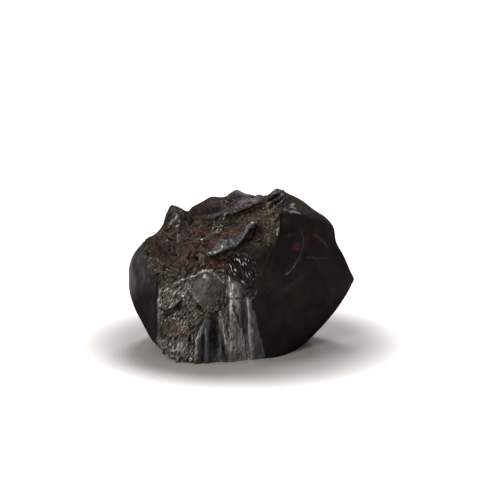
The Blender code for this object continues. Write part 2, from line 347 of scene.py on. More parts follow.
@dataclass(frozen=True)
class Nodule:
    """The round nodule and the faces that broke it down to this lump."""

    half_depth: float = 18.6
    skin_power: float = 2.6  # 2 makes the skin an ellipsoid, more makes it squarer
    edge_sharpness: float = 60.0
    bend_sharpness: float = 16.0  # the right face bends softly between its two halves
    evened_over: tuple[int, ...] = (-18, -12, -6, 0, 6, 12, 18)  # the skin's own outline has no crags
    crag_depth: tuple[float, float] = (0.12, 0.42)
    wave_size: float = 0.5
    wave_shift: tuple[float, float, float] = (7.3, 3.1, 5.7)  # gives each face waves of its own
    face_seed: int = 1
    bent_seed: int = 20
    outline: Corners = (
        (25.2, -0.2), (24.5, 1.1), (22.6, 5.1), (21.0, 8.0), (20.4, 11.6), (18.9, 13.7), (16.4, 15.3),
        (13.0, 18.0), (10.4, 19.1), (8.5, 20.0), (7.2, 19.6), (6.2, 18.6), (3.8, 18.0),
        (0.2, 19.0), (-1.1, 19.6), (-2.4, 19.0), (-3.6, 18.1), (-7.1, 17.9), (-8.6, 17.0),
        (-11.0, 15.7), (-12.4, 14.8), (-13.7, 15.5), (-15.0, 16.0), (-15.9, 15.4), (-17.7, 11.1),
        (-18.8, 9.7), (-20.6, 8.8), (-22.3, 7.3), (-23.9, 5.3), (-24.8, 2.9), (-25.0, 0.0),
        (-24.8, -3.1), (-23.7, -6.6), (-22.1, -9.7), (-20.4, -13.0), (-18.6, -16.4), (-16.8, -20.0),
        (-9.0, -25.0), (0.0, -24.0), (6.0, -21.0), (10.8, -17.0), (15.7, -13.0), (21.9, -6.0), (24.5, -1.7),
    )  # fmt: skip
    fractures: dict[str, Fracture] = field(
        default_factory=lambda: {
            "front": Fracture((-10.0, -18.8, 14.5), -16, -3, 0.2, 0.35),
            "ribs": Fracture((2.0, 0.0, 14.0), 17, -12, 0.2, 0.25),
            "upper_left": Fracture((-18.4, -2.7, 13.6), -27, 28, 0.3, 0.4),
            "top_slope": Fracture((-6.9, 1.8, 15.6), 0, 41, 0.3, 0.5),
            "right_shoulder": Fracture((13.1, 13.9, 2.1), 45, 47, 0.1, 0.04),
            "under_right": Fracture((17.0, -13.2, -3.0), 64, -35, 0.3, 0.0),
            "under_left": Fracture((-14.9, -17.8, 12.5), -117, -63, 0.2, 0.3),
            "back": Fracture((0.0, 0.0, -15.0), 172, 2, 0.5, 0.3),
            "back_left": Fracture((-20.5, 0.0, -7.0), -125, 10, 0.4, 0.25),
            "back_right": Fracture((21.5, -3.0, -8.0), 140, -8, 0.4, 0.0),
            "back_top": Fracture((0.0, 17.5, -8.5), 165, 45, 0.5, 0.4),
        }
    )
    bent_face: dict[str, Fracture] = field(
        default_factory=lambda: {
            "right": Fracture((25.6, -0.2, -3.4), 38, -6, 0.3, 0.03),
            "right_upper": Fracture((14.5, 4.0, 6.3), 37, 22, 0.2, 0.05),
        }
    )
    bites: tuple[Bite, ...] = (
        Bite(150, 12, 34, 1.8),
        Bite(-150, -8, 30, 1.5),
        Bite(-165, 45, 26, 1.4),
        Bite(126, -22, 24, 1.2),
    )

    def outline_reach(self, angle: np.ndarray) -> np.ndarray:
        """Draws a smooth curve through the outline's points.

        Args:
            angle: Angles round the heart.

        Returns:
            How far the outline lies from the heart at each angle.
        """
        points = np.array(self.outline)
        turns = np.unwrap(np.arctan2(points[:, 1], points[:, 0]))
        reach = np.hypot(points[:, 0], points[:, 1])
        turns = np.concatenate([turns[-2:] - 2 * math.pi, turns, turns[:2] + 2 * math.pi])
        reach = np.concatenate([reach[-2:], reach, reach[:2]])
        slopes = np.gradient(reach, turns)
        angle = (angle - turns[1]) % (2 * math.pi) + turns[1]
        after = np.clip(np.searchsorted(turns, angle), 1, len(turns) - 1)
        gap = turns[after] - turns[after - 1]
        t = (angle - turns[after - 1]) / gap
        return (
            (2 * t**3 - 3 * t**2 + 1) * reach[after - 1]
            + (t**3 - 2 * t**2 + t) * gap * slopes[after - 1]
            + (3 * t**2 - 2 * t**3) * reach[after]
            + (t**3 - t**2) * gap * slopes[after]
        )

    def skin_closeness(self, ways: np.ndarray) -> np.ndarray:
        """Shapes the skin, whose crags die away in front of the outline and behind it.

        Args:
            ways: A unit vector from the heart for each point.

        Returns:
            One over the distance to the skin, each way.
        """
        u, v, w = ways.T
        angle = np.arctan2(v, u)
        even = np.mean([self.outline_reach(angle + math.radians(turn)) for turn in self.evened_over], axis=0)
        crag = 1 - smooth(*self.crag_depth, np.abs(w))
        across = np.hypot(u, v) / (even + crag * (self.outline_reach(angle) - even))
        deep = np.abs(w) / self.half_depth
        return (across**self.skin_power + deep**self.skin_power) ** (1 / self.skin_power)

    def face_closeness(self, ways: np.ndarray, face: Fracture, seed: int) -> np.ndarray:
        """Shapes a fracture face.

        Args:
            ways: A unit vector from the heart for each point.
            face: The face.
            seed: Picks its waves.

        Returns:
            One over the distance to the face, each way.
        """
        normal = facing(face.azimuth, face.elevation)
        shift = Vector([seed * step for step in self.wave_shift])
        wave = np.array([noise.noise(Vector(way) / self.wave_size + shift) for way in ways])
        return np.clip(ways @ normal, 0, None) / (normal @ np.array(face.through) + face.wave * wave)

    @staticmethod
    def joined(closeness: list[np.ndarray], sharpness: float) -> np.ndarray:
        """The nearest of several surfaces, with the edges between them rounded."""
        return sum(c**sharpness for c in closeness) ** (1 / sharpness)

    def broken(self, ways: np.ndarray) -> tuple[np.ndarray, dict[str, np.ndarray]]:
        """Breaks the nodule down to the lump.

        Args:
            ways: A unit vector from the heart for each point.

        Returns:
            How far the stone reaches each way, and each face's share of the surface there by name.
        """
        halves = enumerate(self.bent_face.values(), self.bent_seed)
        bent = [self.face_closeness(ways, face, seed) for seed, face in halves]
        others = enumerate(self.fractures.values(), self.face_seed)
        faces = [self.face_closeness(ways, face, seed) for seed, face in others]
        named = {"skin": self.skin_closeness(ways), "right": self.joined(bent, self.bend_sharpness)}
        named.update(zip(self.fractures, faces))
        everything = self.joined(list(named.values()), self.edge_sharpness)
        reach = 1 / everything
        for bite in self.bites:
            look = facing(bite.azimuth, bite.elevation)
            angle = np.degrees(np.arccos(np.clip(ways @ look, -1, 1)))
            reach -= bite.depth * np.clip(1 - (angle / bite.spread) ** 2, 0, None)
        return reach, {name: (c / everything) ** self.edge_sharpness for name, c in named.items()}


@dataclass(frozen=True)
class FrontRelief:
    """The steps, ridges, grooves and hollows of the side that faces the viewer."""

    fade: tuple[float, float] = (0.1, 1.6)  # relief dies away this near the outline
    front: tuple[float, float] = (-7.0, -4.0)  # and between these depths
    lobe_edge: Path = field(
        default_factory=lambda: [
            (-22.5, 8.6, 1), (-20.0, 3.8, 1), (-18.4, 0.0, 1), (-18.4, -13.5, 1), (-18.8, -16.5, 1),
        ]
    )  # fmt: skip
    forms: dict[str, Step | Ridge | Boss | Shelf] = field(
        default_factory=lambda: {
            # The left edge of the front, and the blocks that it is broken into.
            "lobe_edge": Step([(-18.1, -0.5, 0.3), (-18.1, -4, 1.6), (-18.3, -13.5, 1.8), (-18, -16, 1)],
                0.2, 4.6),
            "front_ledge": Step([(-18, -9.4, 0), (-16.4, -8, 0.7), (-15, -6.9, 1), (-13.6, -5.6, 0.9),
                (-12.3, -4.2, 0)], 0.4, 5),
            "front_lip": Ridge([(-16.4, -7.4, 0), (-14.8, -6.1, 0.4), (-13.4, -4.8, 0.3),
                (-12.4, -3.8, 0)], 0.6),
            "front_nick": Step([(-17.8, -6.1, 0), (-17, -6.2, 0.6), (-15.6, -7.4, 0)], 0.35, 2),
            "valley": Ridge([(-11.4, -3, 0), (-10.7, -4.6, -0.3), (-9.2, -6.2, -0.5), (-7.8, -7.5, 0)], 0.35),
            "rim": Ridge([(-18, -2.6, 0.2), (-14.6, -1.1, 0.6), (-12.5, -0.3, 0.5), (-10.2, 0.4, 0.5),
                (-8.3, 1.3, 0.6), (-6.8, 1.3, 0.5), (-5.2, 0.3, 0.4), (-3.9, -1.1, 0.2)], 0.6),
            "patch": Boss((-7, -2.4), (5.2, 5.2), 0, 0.5),
            "front_hollow": Boss((-13.6, -10.6), (4.6, 3.4), 30, -0.7),
            "slit_1": Ridge([(-13.8, -12.4, -0.3), (-14, -13.2, -0.8), (-14.3, -14.2, -0.3)], 0.35),
            "slit_2": Ridge([(-14.5, -14.6, -0.4), (-14.9, -16, -0.9), (-15, -17.2, -0.4)], 0.35),
            "slit_3": Ridge([(-11, -12.2, -0.3), (-11.1, -13.2, -0.8), (-11, -14.2, -0.3)], 0.3),
            # The fins, the cleft and the ribs.
            "broken_edge": Step([(-7.6, -7.6, 0.3), (-8, -9.4, 1), (-9.2, -11.4, 1.4), (-9.9, -13.4, 1.4),
                (-10.2, -18.6, 1)], 0.45, 4),
            "fin_slit": Ridge([(-8.3, -12.4, -0.4), (-8.4, -14.4, -0.9), (-8.5, -18.6, -0.6)], 0.3),
            "fin": Ridge([(-7.1, -8.6, 0.2), (-7.4, -13, 0.4), (-7.4, -18.6, 0.2)], 0.5),
            "cleft": Ridge([(-6.1, -7.6, -0.4), (-5.8, -9.8, -1.1), (-5.6, -13, -1.3), (-5.4, -15.6, -1),
                (-5.4, -19, -0.4)], 1.3),
            "cleft_chip": Ridge([(-4.8, -7.2, 0.2), (-4.7, -7.9, 0.7), (-4.6, -8.6, 0)], 0.35),
            "rib_1": Ridge([(-4.4, -8.8, 0.2), (-4, -11.4, 0.7), (-3.6, -14, 0.6), (-3.6, -18.6, 0.3)],
                0.6),
            "column": Boss((-1.9, -5.6), (6.6, 2.1), 88, 2.1),
            "column_foot": Boss((-2.2, -15), (6, 2.4), 89, 1),
            "column_side": Ridge([(-3.5, -3.2, -0.2), (-3.4, -6, -0.8), (-3, -9, -0.6),
                (-2.7, -12, -0.2)], 0.4),
            "rib_gap": Ridge([(0.2, -4.6, -0.4), (0.3, -8, -1), (0.5, -11, -0.7), (0.8, -13.5, 0)], 0.65),
            "rib_2": Ridge([(1.2, -4.6, 0.4), (1.5, -8.2, 0.6), (1.4, -11.4, 0.5), (2, -14.4, 0.5),
                (2.4, -18.4, 0.5)], 0.45),
            "rib_slit": Ridge([(0.6, -11.4, -0.2), (0.9, -14, -0.5), (1.3, -18.4, -0.4)], 0.25),
            "column_scar": Boss((-1.8, -6.5), (1.3, 0.5), -78, -0.6),
            "cross_crack": Ridge([(-3.5, -4.2, -0.2), (-2.4, -4.4, -0.4), (-0.8, -4.3, -0.45),
                (0.6, -4.4, -0.2)], 0.18),
            # The ledge across the top, its lip and the scar under it.
            "ledge": Shelf([(-7.6, 4.8, 0), (-5.6, 5.6, 0.9), (-3.6, 6.2, 1), (-1.3, 7.4, 1), (0, 9, 1),
                (1.4, 11, 1), (2.8, 12.3, 0.8), (4.1, 12.7, 0)],
                rise=1, back=3.4, face=1.4, drop=1.1, cut=0.6, mouth=0.6, recover=5),
            "scar": Boss((2.8, 9.7), (2.4, 1.6), 52, -0.8),
            "plate_edge": Ridge([(-3.1, 8.6, -0.2), (-3, 7.4, -0.5), (-3.1, 6.6, -0.3)], 0.25),
            "band": Shelf([(-9.9, 12.9, 0), (-6.8, 13.2, 0.7), (-3.6, 13.8, 0.9), (-1.4, 14.4, 1),
                (1.2, 15.6, 1), (3.9, 16.8, 0.8), (5, 17.3, 0)],
                rise=0.8, back=4, face=0.6, drop=0.4, cut=0.3, mouth=0.5, recover=4),
            "pillar": Step([(6.6, 6.6, 0.2), (7.3, 8.4, 0.9), (8, 10.4, 1.3), (8.3, 13.8, 1),
                (8.6, 15, 0.3)], 0.35, 6),
            "pillar_body": Ridge([(5.6, 15, 0.6), (6.2, 12.6, 0.9), (6.4, 10.2, 0.9), (6, 7.6, 0.4)],
                1.2),
            "pillar_chip": Ridge([(7.8, 11.2, 0), (7.8, 10.4, 0.7), (7.6, 9.2, 0)], 0.35),
            # The broken ground to the left of it.
            "left_crease": Step([(-20, 5.2, 0.3), (-17.6, 3.4, 0.7), (-15.6, 2.3, 0.8), (-13, 1.2, 0.4)],
                0.3, 3.5),
            "left_crack": Ridge([(-18, 10.1, -0.3), (-16.3, 9.1, -0.6), (-15.4, 8.2, -0.7),
                (-14, 7.6, -0.3)], 0.3),
            "crack_lip": Ridge([(-17.6, 10.4, 0.3), (-15.9, 9.2, 0.5), (-14.1, 8.1, 0.3)], 0.4),
            "peak_ridge": Ridge([(-15, 15.4, 1.4), (-14.4, 11.5, 1.2), (-13.2, 8.6, 0.8),
                (-13.4, 7.4, 0.3)], 1),
            "behind_peak": Boss((-11.4, 12), (2.8, 3.8), -20, -0.9),
            "lump_1": Boss((-11.4, 4.6), (1.7, 3), -12, 0.9),
            "lump_gap": Ridge([(-9.9, 5.9, 0), (-9.8, 4.6, -0.35), (-9.9, 3, 0)], 0.35),
            "lump_2": Boss((-8.6, 3.9), (1.2, 2.2), 20, 0.7),
            "lump_3": Boss((-6.2, 3.4), (1.9, 1.5), 35, 0.6),
            "lens": Boss((-7.8, 8.4), (1.6, 0.5), -4, 0.7),
            "fold_left": Ridge([(-12.4, 7.2, 0.3), (-9.6, 7.5, 0.6), (-6.4, 7.3, 0.3)], 0.5),
            "hollow": Boss((-5.6, 9.8), (6.2, 3.4), 22, -0.9),
            "left_hollow": Boss((-16.6, 6.4), (3.4, 2.4), -30, -0.9),
            "crest_left": Boss((-6.9, 16), (3.6, 1.9), 8, 0.8),
            "fold_1": Ridge([(4.4, 16.8, 0.4), (6.6, 18.4, 0.9), (8.3, 19.2, 0.6)], 0.35),
            "fold_2": Ridge([(5.6, 15.9, 0.5), (7.8, 17.6, 0.9), (9.4, 18.6, 0.5)], 0.35),
            "fold_3": Ridge([(6.8, 15.2, 0.4), (8.6, 16.6, 0.8), (9.4, 17.5, 0.4)], 0.3),
            "fold_gap": Ridge([(5, 16.2, -0.2), (7.2, 17.9, -0.7), (9, 18.8, -0.2)], 0.3),
            "fold_gap_2": Ridge([(6.2, 15.4, -0.2), (8.2, 17, -0.6), (9.4, 18, -0.2)], 0.25),
            "shoulder_nick": Ridge([(14.2, 15.2, 0), (15.4, 15.6, -0.4), (16.6, 16.2, -0.5)], 0.5),
            # The dark right side.
            "right_hollow": Boss((12.6, 8.4), (6.6, 4.6), -10, -0.5),
            "right_low_hollow": Boss((13.6, -4.2), (9.6, 7.4), 35, -0.4),
            "arc_crack": Ridge([(13.1, 10.3, -0.1), (13.4, 8.8, -0.2), (13.3, 7.2, -0.2),
                (12.3, 4.2, -0.2), (9.6, 0.8, -0.15)], 0.25),
        }
    )  # fmt: skip

    def height(self, u: np.ndarray, v: np.ndarray) -> np.ndarray:
        """How far the front stands out from its fracture faces."""
        return sum(form.height(u, v) for form in self.forms.values())


# ---------------------------------------------------------------------------------------------------------
# Where each kind of surface shows
# ---------------------------------------------------------------------------------------------------------


class Kind(Enum):
    """The kinds of surface, the painted shade, highlights, sheen and sparkle laid over them, and the
    surface's crests and chips, each kept on the mesh as an attribute from 0 to 1.
    """

    LOBE = "lobe"
    FRONT = "front"
    RIBS = "ribs"
    RIGHT = "right"
    SHOULDER = "shoulder"
    BROWN = "brown"
    PLUM = "plum"
    OLIVE = "olive"
    TAN = "tan"
    BLUE = "blue"
    RUST = "rust"
    PAINTED_SHEEN = "painted_sheen"
    DARK = "dark"
    SILVER_AND_HIGHLIGHT = "silver_and_highlight"
    PAINTED_HIGHLIGHT = "painted_highlight"
    PALE = "pale"
    FLECK = "fleck"
    EVEN = "even"
    CREST = "crest"
    CHIP = "chip"


class Ground(Enum):
    """The grounds whose grain runs its own way, and the plain one, which has none."""

    FOOT = "foot"
    FLECKS = "flecks"
    SLAB = "slab"
    HATCH = "hatch"
    CROWN = "crown"
    LEFT = "left"
    FLAMES = "flames"
    PLAIN = "plain"
    BACK = "back"


@dataclass(frozen=True)
class Patch:
    """A soft-edged patch over an ellipse."""

    centre: tuple[float, float]
    radii: tuple[float, float]
    turn: float = 0.0
    strength: float = 1.0
    edge: float = 0.5

    def cover(self, u: np.ndarray, v: np.ndarray) -> np.ndarray:
        """How far the patch covers each place, from 0 to its strength."""
        near = np.sqrt(Boss(self.centre, self.radii, self.turn, 1.0).near(u, v))
        return self.strength * soft_edged(near, self.edge)


@dataclass(frozen=True)
class Streak:
    """A soft-edged streak along a path, whose sizes are its half widths."""

    path: Path
    strength: float = 1.0
    edge: float = 0.5

    def cover(self, u: np.ndarray, v: np.ndarray) -> np.ndarray:
        """How far the streak covers each place, from 0 to its strength."""
        side, width = beside(self.path, u, v)
        return self.strength * soft_edged(np.abs(side) / np.maximum(width, THINNEST), self.edge)


@dataclass(frozen=True)
class Area:
    """An area inside corners, whose border is soft over edge millimetres."""

    corners: Corners
    strength: float = 1.0
    edge: float = 0.4

    def cover(self, u: np.ndarray, v: np.ndarray) -> np.ndarray:
        """Covers the places inside the corners.

        Args:
            u: The places' distance to the right.
            v: The places' height.

        Returns:
            How far the area covers each place, from 0 to its strength.
        """
        ring = [(x, y, 1.0) for x, y in (*self.corners, self.corners[0])]
        away = np.abs(beside(ring, u, v)[0])
        inside = np.zeros(len(u), bool)
        for (u0, v0, _), (u1, v1, _) in zip(ring, ring[1:]):
            crosses = (v0 > v) != (v1 > v)
            inside ^= crosses & (u < (u1 - u0) * (v - v0) / (v1 - v0 if v1 != v0 else 1.0) + u0)
        return self.strength * smooth(-self.edge, self.edge, np.where(inside, away, -away))


FRONT_FOOT: Corners = ((-18.2, -13), (-13.6, -13.4), (-10.2, -14.6), (-10.4, -20), (-18.2, -20))
BULGE_SIDE: Corners = ((-0.5, -1), (0.5, -2.4), (1.5, -4.2), (-0.4, -4.2), (-0.5, -3))
LEDGE_END: Corners = ((-6.9, 5.2), (-5.4, 5.4), (-3.9, 6.6), (-3.8, 8.5), (-5.2, 7.8), (-6.5, 6.4))

MARKS: dict[Kind | Ground, tuple[Patch | Streak | Area, ...]] = {
    # The dark right face, and the facet above it.
    Kind.RIGHT: (
        Area(((2, -5), (3.4, -3), (9, 4), (27, 4), (27, 0), (14, -20), (5.2, -20), (4.9, -16.5),
            (4.2, -13.7), (3.5, -11), (2.8, -8)), 1, 0.25),
        Area(((8.2, 14.4), (11.4, 14.5), (13, 14), (15.8, 13.2), (18.5, 12.3), (21, 10.6), (27, 0),
            (10, -2), (3.2, -3.2), (3.6, -0.6), (4.2, 1), (5.4, 4.6), (7.4, 7), (8.1, 9), (8.3, 12)),
            1, 0.3),
        Area(((3, 6), (1.4, 4.6), (2.2, 1.4), (2.6, -4.4), (9, -4), (9, 9), (6.4, 7.4)), 0.7, 1),
    ),
    Kind.SHOULDER: (
        Area(((9, 14.5), (11.4, 14.6), (13, 14.1), (15.8, 13.3), (18.5, 12.4), (21.5, 10.2), (22, 14),
            (13, 20), (10, 19.6), (9.6, 17.6)), 1, 0.2),
    ),
    Kind.RIBS: (
        Area(((-5, -8.4), (-3.6, -4), (-3.2, -1.8), (-2.2, -0.8), (-0.6, -1), (0.4, -2.6), (1.4, -4.2),
            (2, -5), (2.8, -8), (3.5, -11), (4.2, -13.7), (4.9, -16.5), (5, -20), (-5, -20)), 1, 0.3),
    ),
    # Grounds whose grain runs its own way, and plain ground, which has none.
    Ground.FLECKS: (
        Area(((-3.8, 3.2), (-2.2, 5), (2.6, 4.6), (3, 0.4), (1, -2.4), (-1.6, -1), (-3.6, 0)), 1, 0.8),
    ),
    Ground.FOOT: (
        Area(((-17.2, -12.8), (-13.4, -12.2), (-9.8, -14.2), (-10, -20), (-17, -20)), 1, 1.2),
    ),
    Ground.SLAB: (
        Area(((-9.8, 12.6), (-3.4, 13.6), (3.6, 16.4), (4.8, 14.4), (2.6, 12.6), (-1, 9), (-4, 7.4),
            (-8, 8.6)), 1, 0.8),
    ),
    Ground.HATCH: (
        Area(((-17.6, 10.4), (-15.4, 16.4), (-12.6, 15), (-12.8, 9.4), (-15.4, 9)), 1, 0.8),
    ),
    Ground.CROWN: (
        Area(((-4.4, 14.6), (4.2, 17.4), (8.6, 15.4), (10.2, 18.2), (8.6, 21), (2.4, 21), (1.6, 18.2),
            (-3.6, 16.6)), 1, 0.6),
    ),
    Ground.LEFT: (
        Area(((-22, 9), (-18, 10.4), (-14.2, 7.4), (-13.4, 0.6), (-18, -2), (-19, 0)), 1, 0.8),
    ),
    Ground.FLAMES: (
        Patch((2.9, 9.9), (2, 1.4), 55),
        Area(((-13.4, 6.8), (-7.6, 5.2), (-3.6, 5.6), (-2.6, 3.4), (-4.6, 1.4), (-9.4, 1.2),
            (-13.4, 0)), 1, 0.6),
    ),
    Ground.PLAIN: (
        Area(((-7.3, 5), (-3.6, 6), (-1, 7.2), (1.6, 10.6), (2.8, 12.4), (0.6, 11.6), (-3, 8.8),
            (-5.6, 7.8)), 1, 0.3),
        Area(((-12.6, 13.8), (-9.4, 12.8), (-3.8, 13.8), (-4.2, 18.4), (-8, 19), (-12.6, 16)), 0.8, 0.5),
        Area(((-2.6, 6.6), (1, 8), (5, 6.6), (7, 7), (4.6, 3.6), (1, 4.6)), 0.8, 0.6),
        Area(((-9, -9.6), (-7.4, -8.4), (-4.6, -9), (-4.2, -20), (-10, -20), (-9.8, -13.6)), 1, 0.3),
        Area(((1.6, -4.8), (2.6, -6), (5.2, -18.6), (2.2, -18.6), (1.8, -9)), 1, 0.3),
    ),
    # Plum, olive and tan ground.
    Kind.PLUM: (
        Area(((-12.4, 13.6), (-7, 13.6), (-4.4, 14.4), (-4.6, 17), (-7.6, 19), (-12, 16.5)), 0.9, 0.4),
        Area(((-20.4, 8), (-17.6, 9.8), (-15, 8), (-14.6, 4.6), (-17, 4), (-19.6, 5)), 0.85, 0.8),
        Area(((-5.8, -2.8), (-3.5, -3.2), (-3.1, -6), (-3.4, -8.6), (-4.6, -8.8), (-5.4, -6.5)), 0.6, 0.5),
        Patch((10.4, 17), (1.5, 1.8), -30, 0.8, 0.4),
        Patch((-0.9, -2.8), (0.6, 1.4), 10, 0.6, 0.3),
        Area(BULGE_SIDE, 0.85, 0.3),
        Patch((-5.6, -2.6), (2.4, 3.4), 0, 0.45, 0.6),
        Streak([(14.6, 14.2, 0.5), (17.8, 13.3, 1), (20.2, 11.2, 1)], 0.9),
    ),
    Kind.OLIVE: (
        Patch((-7.6, 11.6), (1.2, 1.6), 20, 0.6),
        Area(((-15.6, 2.9), (-13.4, 4.2), (-12.4, 3.4), (-12.6, 1.2), (-14.6, 1.2)), 0.6, 0.5),
        Patch((-13.9, 11.6), (1.4, 2.8), -20, 0.5),
        Patch((-9.2, 4), (0.6, 1.4), 0, 0.6),
        Patch((13.6, 16.4), (2.6, 1.6), -35, 0.8),
        Area(((-20.9, 2.6), (-18.6, 3.6), (-14, 0.8), (-13, -0.6), (-17.6, -1.8), (-19, 0.6)), 0.4, 0.6),
        Area(((-3.8, 3.4), (-2.2, 5), (2.6, 5), (3.2, 0), (1.2, -3), (-1.4, -0.8), (-3.4, -0.6)), 0.5, 0.6),
        Streak([(-2, 13.2, 0.5), (1.6, 14.6, 0.6), (4.4, 15.4, 0.5)], 0.5),
        Patch((-1.75, -6.4), (0.4, 1.1), 12, 0.9, 0.4),
        Patch((-10.2, -7.4), (0.6, 0.5), 0, 0.5),
        Area(LEDGE_END, 0.7, 0.15),
        Area(((-2.4, -13.2), (-0.6, -13.2), (0.3, -15), (0.9, -17.6), (-2.6, -18.4)), 0.4, 0.3),
        Patch((9.6, 12.2), (1.8, 1.2), 10, 0.22, 0.8),
        Patch((15.6, 10.4), (2.4, 1), -15, 0.22, 0.8),
        Patch((10, -2.2), (1.6, 1), 30, 0.25, 0.8),
        Patch((13, -4.4), (2, 1.2), 40, 0.22, 0.8),
        Patch((6.2, -0.6), (1.2, 2.6), 20, 0.22, 0.8),
    ),
    Kind.TAN: (
        Area(((4.2, 17), (7.6, 15.4), (8.1, 12), (7.9, 9), (6.9, 7.4), (4.9, 8), (4.9, 11.6),
            (3.8, 14.6)), 0.9, 0.5),
    ),
    # The steel-blue fins, the plain blue strip beside the ribs, and the blue-grey foot of the cleft.
    Kind.BLUE: (
        Area(((-7.9, -9), (-6.5, -8.4), (-6.2, -19), (-9.8, -19), (-9, -14)), 1, 0.25),
        Area(((-6.4, -15.6), (-5, -14.2), (-3.4, -14.6), (-2.9, -19), (-6.4, -19)), 0.8, 0.4),
        Area(((1.7, -4.4), (2.8, -8.5), (3.7, -12), (4.8, -17), (5, -19), (2.8, -19), (2.1, -11.5)),
            0.9, 0.25),
        Area(((-0.4, -4.9), (1, -5), (1.3, -8), (1.1, -11.4), (0.5, -12.6), (-0.4, -9)), 0.6, 0.6),
        Patch((1.4, -1.8), (1.3, 1.2), 0, 0.6),
        Patch((-10, -2), (1.6, 2.6), -20, 0.3, 0.7),
        Patch((-0.8, 18.4), (2.4, 1.2), 10, 0.5, 0.4),
        Patch((2.3, 11), (1.4, 0.9), 40, 0.6, 0.5),
        Area(((-3.7, 6.6), (-1.6, 6.9), (0.5, 9.1), (1.8, 11.6), (-0.1, 9.5), (-2.2, 8.8), (-3.7, 8.4)),
            0.55, 0.15),
        Area(((22, -2.6), (22.6, -4), (19.6, -6.8), (19, -5)), 0.12, 0.8),
    ),
    Kind.RUST: (
        Streak([(-12.4, 7.1, 0.5), (-10.2, 6.9, 0.6), (-7.6, 6.9, 0.7), (-6.4, 7.9, 0.7), (-4.6, 8.9, 0.7),
            (-2.6, 9.9, 0.6)], 0.6),
        Streak([(-2.4, 9.6, 0.5), (-0.6, 10.4, 0.7), (1.6, 12.2, 0.4), (3.7, 13.2, 0.4)], 0.4),
        Patch((-1.5, 10), (0.7, 0.45), 20, 1),
        Patch((-8.2, 10.2), (1.3, 0.9), 30, 0.5),
        Patch((-11.1, 4.6), (1.2, 2), -12, 0.5),
        Area(((-8.8, 5.4), (-6.6, 4.6), (-3.6, 5), (-2.2, 3.2), (-4, 1.8), (-7.6, 2.6)), 0.5, 0.6),
        Patch((-14, -11.4), (2.2, 1.5), -20, 0.5),
        Patch((1.7, 5.9), (1.2, 0.4), 0, 0.8),
        Patch((4, 2), (0.7, 1.5), 0, 0.35),
        Patch((11.9, 6.9), (0.9, 1), 0, 0.8),
        Patch((14.3, 8.1), (0.8, 1.4), -20, 0.6),
        Patch((10.9, 5.1), (0.5, 0.8), 0, 0.5),
        Patch((9.9, 9.2), (0.9, 0.5), 30, 0.45),
        Patch((19.6, 9.8), (0.7, 0.8), 0, 0.4),
        Patch((15.2, -7.4), (0.7, 1.6), 0, 0.15),
        Streak([(-3.9, 15, 0.25), (-2.2, 15.8, 0.25)], 0.7),
        Patch((-3.2, -16.4), (0.3, 0.8), 0, 0.6),
        Patch((8.6, -6), (1.8, 0.8), 60, 0.1, 0.8),
        Patch((5.6, 3), (0.8, 2), 10, 0.2, 0.8),
        Patch((17.6, 7.4), (1.8, 1), 20, 0.12, 0.8),
    ),
    # The folds on the crown are as bright as the front.
    Kind.FRONT: (
        Area(((4.6, 15.6), (5.2, 18.4), (7.2, 20.6), (10, 18.8), (9.4, 16.8), (8.6, 15.2)), 0.6, 0.5),
    ),
    # Painted sheen: a lilac tint over the band, on the shoulder and on the crown.
    Kind.PAINTED_SHEEN: (
        Streak([(-10.8, 13.5, 0.12), (-6.4, 13.8, 0.16), (-3.8, 14.4, 0.4), (-1.2, 15.5, 0.6),
            (1.2, 16.6, 0.6), (3.8, 17.6, 0.4)], 0.55, 0.7),
        Area(((8.6, 14.5), (9.6, 15.3), (10.8, 15.2), (10.6, 14.7)), 0.8, 0.3),
        Patch((1.6, 18.4), (2.6, 0.8), 10, 0.25),
    ),
    # Painted shade in cracks, clefts and scars, under the ledges, along the lobe's edge and where the stone
    # turns under, and a few patches of darker tone.
    Kind.DARK: (
        Area(((-6.8, -7.4), (-5.6, -7.6), (-5.1, -10.2), (-4.9, -13.6), (-5, -15.2), (-6.5, -15.4),
            (-6.9, -12)), 0.85, 0.3),
        Area(((-5, -8.8), (-3.7, -8.6), (-3.4, -11), (-4.4, -13.6), (-5, -13)), 0.35, 0.4),
        Area(((-0.4, -4.9), (1, -5), (1.3, -8), (1.1, -10.4), (0.2, -10), (-0.4, -8)), 0.25, 0.4),
        Streak([(-1.9, -5.8, 0.1), (-1.5, -7.2, 0.22), (-1, -8.6, 0.22), (-0.5, -10, 0.2),
            (-0.6, -11.6, 0.1)], 0.85),
        Streak([(1, -13, 0.1), (1.4, -15, 0.25), (1.7, -17.4, 0.15)], 0.6),
        Area(((1.9, -4.4), (2.8, -8.5), (4, -13), (4.6, -16.5), (3.4, -16), (2.6, -12)), 0.35, 0.4),
        Patch((2.9, 9.9), (2.3, 1.5), 55, 0.6),
        # Painted shadow under the ledge's lip.
        Streak([(-6.4, 4.6, 0.15), (-3.4, 5.4, 0.3), (-0.6, 6.7, 0.35), (1.6, 8.4, 0.4)], 0.85),
        Area(((-12.2, 13.8), (-7, 13.8), (-4.6, 14.8), (-4.6, 17), (-7.6, 19.4), (-12.2, 16.5)), 0.35, 0.5),
        Patch((-4.2, 18), (0.9, 1.4), -20, 0.5, 0.5),
        Patch((-1, 17.6), (2.6, 0.6), 12, 0.4, 0.4),
        Streak([(-1.6, -1.6, 0.1), (-1.4, -2.8, 0.15), (-1.5, -4, 0.05)], 0.6),
        Area(BULGE_SIDE, 0.6, 0.3),
        Patch((-11.5, 11), (2, 2.4), 0, 0.35, 0.7),
        Area(((-16.6, 11), (-15.6, 15.6), (-13.4, 15.4), (-12.6, 12), (-13.4, 9.4)), 0.3, 0.6),
        # Painted shade over the lower lobe, up to its sharp edge.
        Area(((-18.8, -1), (-18.4, -17), (-26, -16), (-26, -5.6), (-23, -2.2), (-20.2, -1.8)), 1, 2.2),
